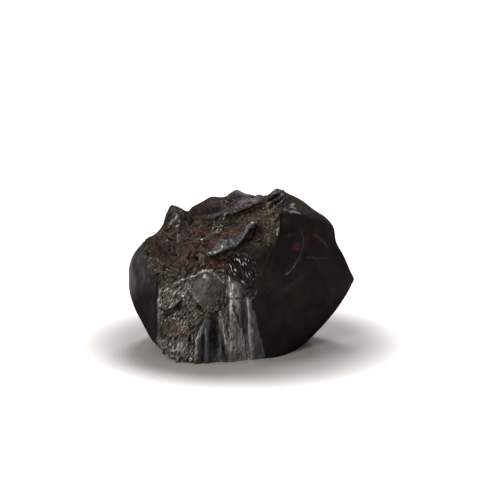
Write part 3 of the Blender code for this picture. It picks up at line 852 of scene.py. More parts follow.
        Area(((-3.4, 3.4), (-2, 4.8), (2, 5.6), (3.4, 3.6), (3, -3.2), (1.6, -4.4), (0.4, -2.4),
            (-1.4, -0.6), (-2.8, -0.6)), 0.85, 1.2),
        Streak([(-9.9, 6.2, 0.15), (-9.8, 4.6, 0.25), (-9.9, 3, 0.15)], 0.5),
        # Painted shadow along the crease of the front ledge.
        Streak([(-12.4, -4.2, 0.1), (-13.2, -5, 0.22), (-14.4, -6.3, 0.2), (-15.6, -7, 0.3),
            (-17.2, -8, 0.1)], 1),
        Streak([(-18.2, -6.5, 0.16), (-17, -6.6, 0.1), (-16.2, -7.5, 0.2)], 0.8),
        Streak([(-9.8, -5.6, 0.08), (-9, -6.5, 0.18), (-8, -7.4, 0.18)], 0.7),
        Streak([(-18.4, -1.6, 0.2), (-18.5, -8, 0.3), (-18.6, -14, 0.25)], 0.5),
        Patch((-7.9, -14), (0.9, 4.6), 4, 0.35, 0.6),
        Patch((2.2, 5.6), (3, 1.6), 10, 0.6, 0.6),
        # Painted shade where the right side turns under the stone.
        Area(((25, -2.6), (21, -4), (16, -9), (11, -14), (12, -20), (27, -6)), 0.9, 1.6),
    ),
    # The smooth patch of the front face.
    Kind.EVEN: (
        Area(((-11, -0.4), (-8.6, 1.2), (-6.6, 1.2), (-5, 0.2), (-3.6, -1.6), (-4, -3.4), (-6.6, -6.4),
            (-8.4, -6.2), (-10.4, -4)), 1, 0.6),
    ),
    # Silvery clean breaks, partly painted highlight where faces and edges catch the light; on the right face
    # a pale line along the arc crack and faint painted reflections.
    Kind.SILVER_AND_HIGHLIGHT: (
        Area(LEDGE_END, 0.12, 0.15),
        Area(((-3.7, 6.6), (-1.6, 6.9), (-0.5, 7.6), (0.6, 9.2), (2, 11.4), (2.6, 12.4), (1.4, 11.8),
            (-0.1, 9.5), (-1.1, 8.4), (-2.2, 8.8), (-3.7, 8.4)), 0.06, 0.15),
        Area(((-3.2, -10), (-1, -10), (-0.2, -13), (0.4, -18.6), (-2.6, -18.6), (-3, -14)), 0.8, 0.4),
        Area(((-17.9, -2.4), (-14.6, -0.9), (-11.8, 0), (-11.4, -3), (-15.4, -6.6), (-18, -8)), 0.15, 0.5),
        Streak([(-17.7, -2.6, 0.2), (-17.8, -8, 0.2), (-17.9, -13.6, 0.2)], 0.3),
        Area(((-3.2, -4.6), (-1.8, -4.6), (-1.6, -6.8), (-1.2, -10), (-2.4, -8.6)), 0.5, 0.3),
        Area(((-3.1, -3), (-2.4, -2.3), (-2.2, -0.8), (-1.7, -1.8), (-1.6, -4.1), (-3.2, -4.1)), 0.8, 0.2),
        Patch((-4, -12.6), (0.5, 1.6), 4, 0.7),
        Streak([(2, -12.2, 0.3), (2.35, -15, 0.5), (2.6, -17.8, 0.5)], 0.7),
        Area(FRONT_FOOT, 0.3, 0.8),
        Streak([(-7.8, -8.6, 0.15), (-8.9, -11.2, 0.25), (-9.8, -13.4, 0.2), (-10, -17.6, 0.15)], 0.8),
        Streak([(13.1, 10.3, 0.1), (13.4, 8.8, 0.12), (13.3, 7.2, 0.12), (12.9, 5.6, 0.12)], 0.25),
        Streak([(12.9, 5.6, 0.08), (12.3, 4.2, 0.1), (11.4, 2.8, 0.12), (10.4, 1.5, 0.12), (9.6, 0.9, 0.16)],
            0.6),
        Streak([(16.1, 9.5, 0.12), (18, 8, 0.16), (18.9, 6.9, 0.1)], 0.2),
        Streak([(14.3, 4.6, 0.1), (16.4, 4.3, 0.14), (18.6, 4.4, 0.1)], 0.15),
        Streak([(9.2, -2.6, 0.15), (11.8, -0.6, 0.2), (13.4, 0.4, 0.15)], 0.06),
    ),
    # Painted highlights: near-white colour on edges, chips and pale crack lines where they would flash in the
    # light, and the strokes on the shoulder.
    Kind.PAINTED_HIGHLIGHT: (
        Streak([(-14.4, -1, 0.12), (-12.4, -0.2, 0.22), (-10.2, 0.5, 0.2), (-8.3, 1.5, 0.25),
            (-6.8, 1.5, 0.22), (-5.2, 0.5, 0.2), (-4, -0.9, 0.15)], 0.6),
        Area(((-3, -4.8), (-2.1, -4.7), (-1.9, -5.6), (-2, -7), (-1.6, -8.2), (-1.5, -9.1), (-2, -9),
            (-2.6, -7.4), (-3.1, -7), (-3.2, -5.8)), 0.8, 0.2),
        Streak([(-1.2, -4.9, 0.1), (-0.9, -5.3, 0.24), (-0.8, -6.3, 0.2), (-1, -7.1, 0.06)], 0.7),
        Patch((-1.5, -10.5), (0.8, 0.5), -30, 0.8),
        Patch((-2.7, -9.6), (0.8, 0.3), 0, 0.7),
        Patch((-4.2, -12.3), (0.35, 0.9), -10, 0.7),
        Streak([(1.8, -10.2, 0.15), (2, -11, 0.3), (2, -12, 0.15)], 0.6),
        Streak([(0.3, -13, 0.08), (0.7, -15.2, 0.14), (1.1, -17.6, 0.1)], 0.5),
        Area(((-2.4, -13.4), (-0.2, -13.4), (0.8, -17.8), (-2.6, -18.4)), 0.4, 0.4),
        Streak([(-9.9, -12.2, 0.08), (-10.2, -14, 0.16), (-9.9, -16.6, 0.12)], 0.4),
        Streak([(-8.6, -14.4, 0.08), (-8.5, -16.6, 0.16)], 0.6),
        Streak([(-7.9, -10.6, 0.06), (-7.8, -13, 0.1)], 0.5),
        Patch((-1.9, -1.9), (0.5, 0.4), 20, 1),
        Patch((-0.9, -2.9), (0.3, 1), 10, 0.35),
        Patch((-2.6, -3.4), (0.45, 0.6), 0, 1),
        Streak([(1.2, -4.8, 0.14), (1.3, -5.6, 0.06)], 0.5),
        Streak([(1.3, -7, 0.16), (1.4, -8.4, 0.12)], 0.4),
        Streak([(-4.8, -7.3, 0.12), (-4.65, -8.3, 0.2)], 1),
        Patch((-7.9, 0.5), (0.35, 0.4), 0, 0.7),
        Area(FRONT_FOOT, 0.4, 0.8),
        # Painted highlights on the shoulder: three bright strokes.
        Area(((10, 14.55), (11.2, 14.85), (12.1, 14.6), (13, 14), (11.6, 14.25)), 1, 0.1),
        Area(((10.4, 15.45), (11.1, 15.85), (12, 15.35), (11.2, 15.4)), 1, 0.1),
        Patch((11.1, 16.25), (0.4, 0.3), 30, 1, 0.3),
        Streak([(-6.7, 5.2, 0.1), (-5.4, 5.5, 0.18), (-4.2, 6.4, 0.2), (-4, 7.8, 0.12)], 0.9),
        Streak([(-5.2, 11.7, 0.12), (-4.9, 13.3, 0.24)], 1),
        Streak([(-4.2, 12.8, 0.1), (-3.8, 13.9, 0.2)], 0.9),
        Streak([(-6.3, 10.9, 0.12), (-6, 12.3, 0.18)], 0.9),
        Streak([(-5.8, 10.2, 0.12), (-5.4, 11.3, 0.2)], 1),
        Streak([(-5.1, 9.9, 0.1), (-4.6, 10.7, 0.18)], 0.9),
        Streak([(-1.7, 7, 0.08), (-0.7, 7.6, 0.15), (0.5, 9.3, 0.18), (1.3, 10.7, 0.08)], 0.8),
        Streak([(0.4, 9.9, 0.08), (1.1, 11.2, 0.14), (2.2, 12, 0.14), (3.4, 12.1, 0.06)], 0.5),
        Patch((2.1, 11.1), (0.7, 0.25), 40, 0.5),
        Streak([(-9.6, 8.3, 0.1), (-8.8, 8.6, 0.25), (-8, 8.6, 0.1)], 0.8),
        Streak([(7.9, 11.1, 0.12), (7.8, 10.3, 0.3), (7.5, 9.3, 0.12)], 0.9),
        Streak([(-15.2, 12.2, 0.1), (-14.5, 13.1, 0.2), (-14, 13.9, 0.12)], 0.9),
        Streak([(-15.5, 11.6, 0.1), (-15.2, 12.8, 0.14)], 0.6),
        Streak([(-14.2, 11.3, 0.1), (-13.5, 12.7, 0.14)], 0.6),
        Streak([(-18, 9.9, 0.06), (-17, 9.5, 0.1), (-16.1, 8.3, 0.13), (-14.9, 7.7, 0.13), (-14, 7.8, 0.12),
            (-13.9, 9.5, 0.06)], 0.7),
        Streak([(-19.6, 4.4, 0.06), (-18, 3.4, 0.08), (-16.8, 2.5, 0.1), (-15.4, 1.6, 0.08),
            (-13.9, 1.1, 0.05)], 0.7),
    ),
    # Painted sparkle: bright flecks where small chips would catch the light, with dark pits among them, and
    # pale lines and spots. The first runs with the hatching, the second down to the right.
    Kind.PALE: (
        Area(((-6.4, 13.2), (-3.4, 14.2), (-3.4, 12.4), (-4.6, 10), (-6.2, 10.4)), 1, 0.5),
        Streak([(-21.4, 7.2, 0.3), (-20.9, 5, 0.4), (-20.2, 2.8, 0.5), (-19.4, 1.6, 0.5),
            (-18.5, 0.4, 0.3)], 0.5, 0.7),
        Area(((-16.6, 13.4), (-15.2, 15.2), (-12.4, 14.2), (-12.8, 9.6), (-15.8, 10.4)), 0.5, 0.5),
        Area(((-20.4, 2.6), (-13.2, 0.4), (-13.6, -1.4), (-17.8, -2)), 0.5, 0.6),
        Area(((-18.2, -2.4), (-14.6, -0.8), (-11, 0.2), (-11.2, -4), (-15.6, -7), (-18.2, -8)), 1, 0.4),
        Area(((-18.4, -12.4), (-13.4, -12.6), (-9.8, -14.4), (-10.2, -20), (-19, -20)), 1, 0.8),
        Patch((-3.4, 17.4), (1.6, 1.2), 0, 0.6, 0.6),
        Area(((-3.4, -1.6), (-0.4, -1.2), (0.2, -9), (2.4, -12), (3, -19), (-2.8, -19), (-3.4, -10)),
            0.35, 0.5),
        Area(((4.6, 15.6), (5.2, 18.4), (7.2, 20.6), (10, 18.8), (8.6, 15.2)), 0.5, 0.5),
    ),
    Kind.FLECK: (
        Area(((-4.2, 2.6), (-2.4, 4.6), (0.6, 5), (2.6, 3.4), (2.8, 0.4), (1, -1.8), (-1.4, -1.4),
            (-3.4, -1.2)), 1, 0.8),
        Patch((5.8, 6.9), (0.9, 1), 0, 0.5, 0.6),
        Patch((4.2, -3), (1, 0.8), 0, 0.4, 0.6),
    ),
}  # fmt: skip


@dataclass(frozen=True)
class Grain:
    """Fine relief: its sizes along and across its run and in depth, and the heights of chips and ripples.

    It runs at turn degrees from the level.
    """

    kind: Kind | Ground
    size: tuple[float, float, float]
    chips: float
    ripple: float
    seed: int
    turn: float
    stretch: float = 0.9  # the ripples are a little longer than the chips

    def relief(self, points: np.ndarray) -> tuple[np.ndarray, np.ndarray]:
        """Breaks the surface into chips and ripples.

        Args:
            points: Places on the stone.

        Returns:
            The height of the grain at each point, and a shade from 0 to 1 for the chip that it is on.
        """
        u, v, w = points.T
        places = np.stack([*turned(u, v, self.turn), w], axis=1) / np.array(self.size)
        chip, shade = chip_noise(places, self.seed)
        ripple = gradient_noise(places * self.stretch, self.seed)
        return self.chips * chip + self.ripple * ripple, shade


GRAINS: tuple[Grain, ...] = (
    Grain(Kind.FRONT, (3.0, 1.7, 2.2), 0.12, 0.08, 41, 50),
    Grain(Kind.FRONT, (1.2, 0.6, 0.8), 0.14, 0.06, 42, 58),
    Grain(Ground.FOOT, (2.4, 0.8, 1.2), 0.60, 0.24, 47, 64),
    Grain(Kind.RIBS, (7.0, 1.6, 1.8), 0.16, 0.14, 43, 88),
    Grain(Kind.RIBS, (2.2, 0.7, 0.8), 0.12, 0.08, 44, 88),
    Grain(Ground.FLECKS, (2.4, 0.8, 2.0), 0.16, 0.10, 48, -66),
    Grain(Kind.BROWN, (3.4, 2.2, 2.4), 0.30, 0.22, 45, 40),
    Grain(Kind.BROWN, (1.4, 0.8, 1.0), 0.22, 0.10, 56, 55),
    Grain(Ground.LEFT, (1.5, 0.8, 1.0), 0.15, 0.08, 57, 50),
    Grain(Ground.SLAB, (1.6, 0.7, 0.9), 0.12, 0.06, 58, 34),
    Grain(Ground.SLAB, (5.0, 1.3, 1.4), 0.16, 0.12, 49, 30),
    Grain(Ground.HATCH, (3.2, 0.9, 1.1), 0.40, 0.18, 50, 62),
    Grain(Ground.CROWN, (3.8, 0.8, 1.2), 0.34, 0.14, 51, 42),
    Grain(Ground.LEFT, (4.2, 2.6, 2.6), 0.16, 0.14, 52, -30),
    Grain(Ground.FLAMES, (2.8, 1.0, 1.3), 0.55, 0.30, 53, 68),
    Grain(Ground.BACK, (6.4, 4.0, 5.0), 0.55, 0.40, 54, 24),
    Grain(Ground.BACK, (1.8, 1.1, 1.4), 0.22, 0.14, 55, 24),
)


# ---------------------------------------------------------------------------------------------------------
# The stone
# ---------------------------------------------------------------------------------------------------------


@dataclass(frozen=True)
class Gaps:
    """Gaps in marks: their size, the noise over which a mark comes back, what a gap leaves, and a seed."""

    size: float
    whole: tuple[float, float]
    left: float = 0.0
    seed: int = 0

    def share(self, points: np.ndarray, more: int = 0) -> np.ndarray:
        """What is left of a mark at each point, from 0 to 1, in another pattern for each added seed."""
        pattern = gradient_noise(points / self.size, self.seed + more)
        return self.left + (1 - self.left) * smooth(*self.whole, pattern)


@dataclass
class HematiteStone:
    """The whole lump: one solid stone."""

    heart: tuple[float, float, float] = HEART
    look_down: float = LOOK_DOWN
    nodule: Nodule = field(default_factory=Nodule)
    relief: FrontRelief = field(default_factory=FrontRelief)

    # The mesh.
    sphere_cuts: int = 8
    crowding: float = 0.3  # how far the sphere's points lean towards the viewer
    triangles: int = 190_000
    keeping: float = 500.0  # how much harder it is to thin out a fine mark
    fine_mark: float = 0.05  # a mark this strong is a fine one
    faint_mark: float = 0.02  # and on the smooth right side a fainter one is too
    smooth_side: float = 0.1
    snap: float = 0.05  # points this near the resting level lie on it

    # The bumps of rough ground.
    bump: float = 1.6
    bump_crest: float = 2.2  # how sharp their crests are
    fine_bump: float = 0.5  # the height of the finer bumps among them
    fine_bumps: float = 2.1  # how many of those there are along each
    bump_level: float = 0.5

    # Where each kind of surface starts and ends.
    lobe_rim: tuple[float, float] = (-0.05, 0.2)
    lobe_foot: tuple[float, float] = (0.0, 0.5)
    skin_depths: tuple[float, float] = (2.0, -6.0)
    underside_depths: tuple[float, float] = (-10.0, -2.0)
    patch_rim: tuple[float, float] = (0.7, 1.2)
    front_calm: float = 0.8  # how much of the bumps gives way to the front's own grain
    even_calm: float = 0.9  # and of that grain to even ground
    # The flecks strewn over the plain front are painted sparkle.
    sparkle: float = 0.6  # how far the plain front is strewn with flecks
    plain_chips: float = 0.3  # how much the middle shade counts beside the shades of the chips
    middle_shade: float = 0.5

    # How borders stray, and how stains break up into clouds and blotches, flecks into crowds and the painted
    # highlights on edges into short flashes.
    stray: float = 0.25
    stray_size: float = 1.3
    stray_seed: int = 61
    clouds: Gaps = Gaps(1.9, (0.1, 0.5))
    blotches: Gaps = Gaps(0.8, (-0.3, 0.3), 0.3, 20)
    crowds: Gaps = Gaps(2.4, (-0.5, 0.4), 0.3, 82)
    highlight_flashes: Gaps = Gaps(0.7, (-0.2, 0.25), 0.25, 81)
    stains: tuple[tuple[Kind, float, int], ...] = (
        (Kind.PLUM, 0.6, 73),
        (Kind.OLIVE, 0.35, 72),
        (Kind.RUST, 0.2, 71),
    )

    # A crest is measured against the surface itself, evened out this many times.
    crest_rounds: int = 3
    crest_gain: float = 3.5

    def to_world(self) -> Matrix:
        """The transform from the tables' frame, in metres, to the row's frame."""
        turn = Matrix.Rotation(math.radians(90 - self.look_down), 4, "X")
        return Matrix.Translation(Vector(self.heart) * MM) @ turn

    def bumps(self, points: np.ndarray) -> np.ndarray:
        """Roughens broken ground.

        Args:
            points: Places on the stone.

        Returns:
            The height of sharp-crested bumps from about -1 to 1.
        """
        found = []
        for point in points:
            place = Vector(point) / self.bump
            crest = 1 - self.bump_crest * abs(noise.noise(place))
            found.append(crest + self.fine_bump * noise.noise(place * self.fine_bumps))
        return np.array(found) - self.bump_level

    def kinds(self, points: np.ndarray, shares: dict[str, np.ndarray]) -> dict[Kind | Ground, np.ndarray]:
        """Finds where each kind of surface shows.

        Args:
            points: Places on the stone.
            shares: Each face's share of the surface.

        Returns:
            A cover from 0 to 1 for each kind.
        """
        u, v, w = points.T
        front = smooth(*self.relief.front, w)
        lobe = smooth(*self.lobe_rim, beside(self.relief.lobe_edge, u, v)[0]) * front
        skin = shares["skin"] * smooth(*self.skin_depths, w)
        cover: dict[Kind | Ground, np.ndarray] = {kind: np.zeros(len(u)) for kind in (*Kind, *Ground)}
        cover[Kind.LOBE] = np.clip(np.maximum(lobe, skin), 0, 1)
        rest = 1 - cover[Kind.LOBE]
        right = shares["right"] * (1 - front)
        cover[Kind.FRONT] = (shares["front"] + shares["under_left"] + shares["ribs"]) * rest
        cover[Kind.RIGHT] = (shares["under_right"] + shares["back_right"] + right) * rest
        cover[Kind.BROWN] = (shares["upper_left"] + shares["top_slope"]) * rest
        # Painted shade on the underside to the right, where it turns under the stone.
        cover[Kind.DARK] = shares["under_right"] * smooth(*self.underside_depths, w)
        cover[Ground.BACK] = (shares["back"] + shares["back_left"] + shares["back_top"]) * (1 - front)
        stained = cover[Kind.BROWN] * front + cover[Ground.BACK]
        for kind, amount, seed in self.stains:
            cover[kind] = amount * stained * self.clouds.share(points, seed)
        u, v = (
            x + self.stray * gradient_noise(points / self.stray_size, seed)
            for seed, x in enumerate((u, v), self.stray_seed)
        )
        for kind, marks in MARKS.items():
            for mark in marks:
                cover[kind] = np.maximum(cover[kind], mark.cover(u, v) * front)
        for kind in (Kind.FRONT, Kind.BROWN):
            cover[kind] *= 1 - np.maximum(cover[Kind.RIGHT], cover[Kind.RIBS]) * front
        cover[Kind.RIBS] *= 1 - cover[Kind.RIGHT]
        strewn = self.sparkle * cover[Kind.FRONT] * (1 - cover[Kind.EVEN])
        cover[Kind.PALE] = np.maximum(cover[Kind.PALE], strewn)
        cover[Kind.PALE] *= 1 - np.maximum(cover[Kind.DARK], cover[Kind.BLUE])
        crowds = self.crowds.share(points)
        for kind in (Kind.PALE, Kind.FLECK):
            cover[kind] *= crowds
        # The painted highlights on edges break into short runs, but the painted highlight strokes on the
        # smooth shoulder are whole.
        cover[Kind.PAINTED_HIGHLIGHT] *= np.maximum(self.highlight_flashes.share(points), cover[Kind.SHOULDER])
        for kind, _, seed in self.stains:
            cover[kind] *= self.blotches.share(points, seed)
        return cover

    def sculpt(self, ways: np.ndarray) -> tuple[np.ndarray, dict[Kind | Ground, np.ndarray]]:
        """Shapes the stone.

        Args:
            ways: A unit vector from the heart for each point.

        Returns:
            The points in the tables' frame, and the cover of each kind of surface.
        """
        reach, shares = self.nodule.broken(ways)
        points = ways * reach[:, None]
        u, v, w = points.T.copy()
        inside = self.nodule.outline_reach(np.arctan2(v, u)) - np.hypot(u, v)
        front = smooth(*self.relief.front, w)
        rise = smooth(*self.relief.fade, inside) * front * self.relief.height(u, v)
        cover = self.kinds(points, shares)
        rough = sum(face.rough * shares[name] for name, face in self.nodule.fractures.items())
        lobe = smooth(*self.lobe_foot, beside(self.relief.lobe_edge, u, v)[0])
        patch = 1 - smooth(*self.patch_rim, self.relief.forms["patch"].near(u, v))
        rough *= 1 - front * np.maximum(lobe, patch)
        bare = (1 - cover[Kind.RIGHT]) * (1 - cover[Ground.PLAIN]) * (1 - cover[Ground.BACK])
        rough *= bare * (1 - self.front_calm * front)
        lift = rough * self.bumps(points)
        calm = 1 - self.even_calm * cover[Kind.EVEN]
        local = np.max([cover[ground] for ground in Ground], axis=0)
        total = np.full(len(points), self.plain_chips)
        cover[Kind.CHIP] = self.middle_shade * total
        for grain in GRAINS:
            fine, shade = grain.relief(points)
            share = cover[grain.kind] * calm * (1 if isinstance(grain.kind, Ground) else 1 - local)
            lift += share * fine
            cover[Kind.CHIP] += share * shade
            total += share
        cover[Kind.CHIP] /= total
        points += ways * lift[:, None]
        points[:, 2] += rise
        return points, cover

    def cut_base(self, mesh: bpy.types.Mesh) -> None:
        """Cuts the stone flat at the resting level and closes it there.

        Args:
            mesh: Its mesh.
        """
        shape = bmesh.new()
        shape.from_mesh(mesh)
        for vertex in shape.verts:
            if abs(vertex.co.z) < self.snap * MM:
                vertex.co.z = 0
        everything = shape.verts[:] + shape.edges[:] + shape.faces[:]
        bmesh.ops.bisect_plane(shape, geom=everything, dist=1e-6, plane_no=(0, 0, -1), clear_outer=True)
        rim = [edge for edge in shape.edges if edge.is_boundary]
        base = bmesh.ops.holes_fill(shape, edges=rim)["faces"]
        bmesh.ops.triangulate(shape, faces=base)
        bmesh.ops.recalc_face_normals(shape, faces=shape.faces)
        shape.to_mesh(mesh)
        shape.free()

    def thinned(self, mesh: bpy.types.Mesh, kept: np.ndarray) -> bpy.types.Mesh:
        """Thins a mesh out.

        Args:
            mesh: The mesh.
            kept: The indices of points that carry fine marks, which go last.

        Returns:
            A copy with only the triangles that its shape and its marks need.
        """
        helper = bpy.data.objects.new("helper", mesh)
        bpy.context.scene.collection.objects.link(helper)
        group = helper.vertex_groups.new(name="kept")
        group.add(kept.tolist(), 1.0, "REPLACE")
        thin = helper.modifiers.new("thin", "DECIMATE")
        thin.ratio = min(1.0, self.triangles / len(mesh.polygons))
        thin.vertex_group = group.name
        thin.vertex_group_factor = self.keeping
        thin.invert_vertex_group = True
        bpy.context.view_layer.update()
        graph = bpy.context.evaluated_depsgraph_get()
        result = bpy.data.meshes.new_from_object(
            helper.evaluated_get(graph), preserve_all_data_layers=True, depsgraph=graph
        )
        bpy.data.objects.remove(helper)
        return result

    def mark_crests(self, mesh: bpy.types.Mesh) -> None:
        """Writes how sharply the surface stands out at each point: over 0.5 on a crest, under it in a crack.

        Args:
            mesh: The stone's mesh.
        """
        count = len(mesh.vertices)
        place = np.empty(count * 3)
        mesh.vertices.foreach_get("co", place)
        place = place.reshape(-1, 3) / MM
        normal = np.empty(count * 3)
        mesh.vertex_normals.foreach_get("vector", normal)
        normal = normal.reshape(-1, 3)
        pairs = np.empty(len(mesh.edges) * 2, np.int32)
        mesh.edges.foreach_get("vertices", pairs)
        a, b = pairs.reshape(-1, 2).T
        degree = np.bincount(a, minlength=count) + np.bincount(b, minlength=count)
        even = place.copy()
        for _ in range(self.crest_rounds):
            total = np.stack(
                [np.bincount(a, row[b], count) + np.bincount(b, row[a], count) for row in even.T], axis=1
            )
            even = 0.5 * even + 0.5 * total / np.maximum(degree, 1)[:, None]
        crest = np.clip(0.5 + self.crest_gain * np.einsum("ij,ij->i", place - even, normal), 0, 1)
        mesh.attributes[Kind.CREST.value].data.foreach_set("value", crest.astype(np.float32))

    def build(self) -> bpy.types.Object:
        """Models the stone.

        Returns:
            The stone as one object.
        """
        sphere = bmesh.new()
        bmesh.ops.create_icosphere(sphere, subdivisions=self.sphere_cuts, radius=1.0)
        fine = bpy.data.meshes.new("fine")
        sphere.to_mesh(fine)
        sphere.free()
        ways = np.empty(len(fine.vertices) * 3)
        fine.vertices.foreach_get("co", ways)
        ways = ways.reshape(-1, 3)
        ways[:, 2] += self.crowding
        ways /= np.linalg.norm(ways, axis=1)[:, None]
        points, cover = self.sculpt(ways)
        world = np.array(self.to_world())
        placed = points * MM @ world[:3, :3].T + world[:3, 3]
        fine.vertices.foreach_set("co", placed.astype(np.float32).ravel())
        for kind in Kind:
            data = fine.attributes.new(kind.value, "FLOAT", "POINT").data
            data.foreach_set("value", np.clip(cover[kind], 0, 1).astype(np.float32))
        side = np.maximum(cover[Kind.RIGHT], cover[Kind.SHOULDER]) > self.smooth_side
        faint = side & (np.maximum(cover[Kind.SILVER_AND_HIGHLIGHT], cover[Kind.PAINTED_SHEEN]) > self.faint_mark)
        mesh = self.thinned(fine, np.flatnonzero(faint | (cover[Kind.PAINTED_HIGHLIGHT] > self.fine_mark)))
        bpy.data.meshes.remove(fine)
        self.cut_base(mesh)
        mesh.name = "hematite_lump"
        mesh.shade_smooth()
        self.mark_crests(mesh)
        stone = bpy.data.objects.new("hematite_lump", mesh)
        bpy.context.scene.collection.objects.link(stone)
        return stone

    def dress(self, stone: bpy.types.Object) -> None:
        """Gives the stone its material."""
        stone.data.materials.clear()
        stone.data.materials.append(BrokenHematite().material())


# ---------------------------------------------------------------------------------------------------------
# Finishes
# ---------------------------------------------------------------------------------------------------------


# Settings that several nodes share. A Mix node takes its amount at 0, and its values at 2 and 3 or its
# colours at 6 and 7. A Map Range takes a value and then the limits of both ranges, at 0 to 4.
MIX_VALUES = {"data_type": "FLOAT"}
MIX_COLOURS = {"data_type": "RGBA"}
SHADE_COLOURS = {"data_type": "RGBA", "blend_type": "MULTIPLY", "clamp_result": True}
MULTIPLY = {"operation": "MULTIPLY"}


class Run(Enum):
    """How the fine grain runs: its angle from the level, and how much longer it is along it and in depth."""

    EVEN = (0.0, 1.0, 1.0)
    HATCH = (58.0, 2.6, 1.3)
    SLANT = (34.0, 3.0, 1.5)
    FLECK = (-66.0, 5.0, 5.0)
    UPRIGHT = (88.0, 5.0, 2.5)


@dataclass(frozen=True)
class Finish:
    """One look of hematite: two colours that its grain runs between, and how it shines."""

    dark: str
    light: str
    grain: float  # in millimetres: real grains are about 0.1 wide, and are drawn coarser so that they show
    roughness: float
    metallic: float
    run: Run = Run.EVEN
    relief: float = 0.0  # the depth of the fine grain in millimetres


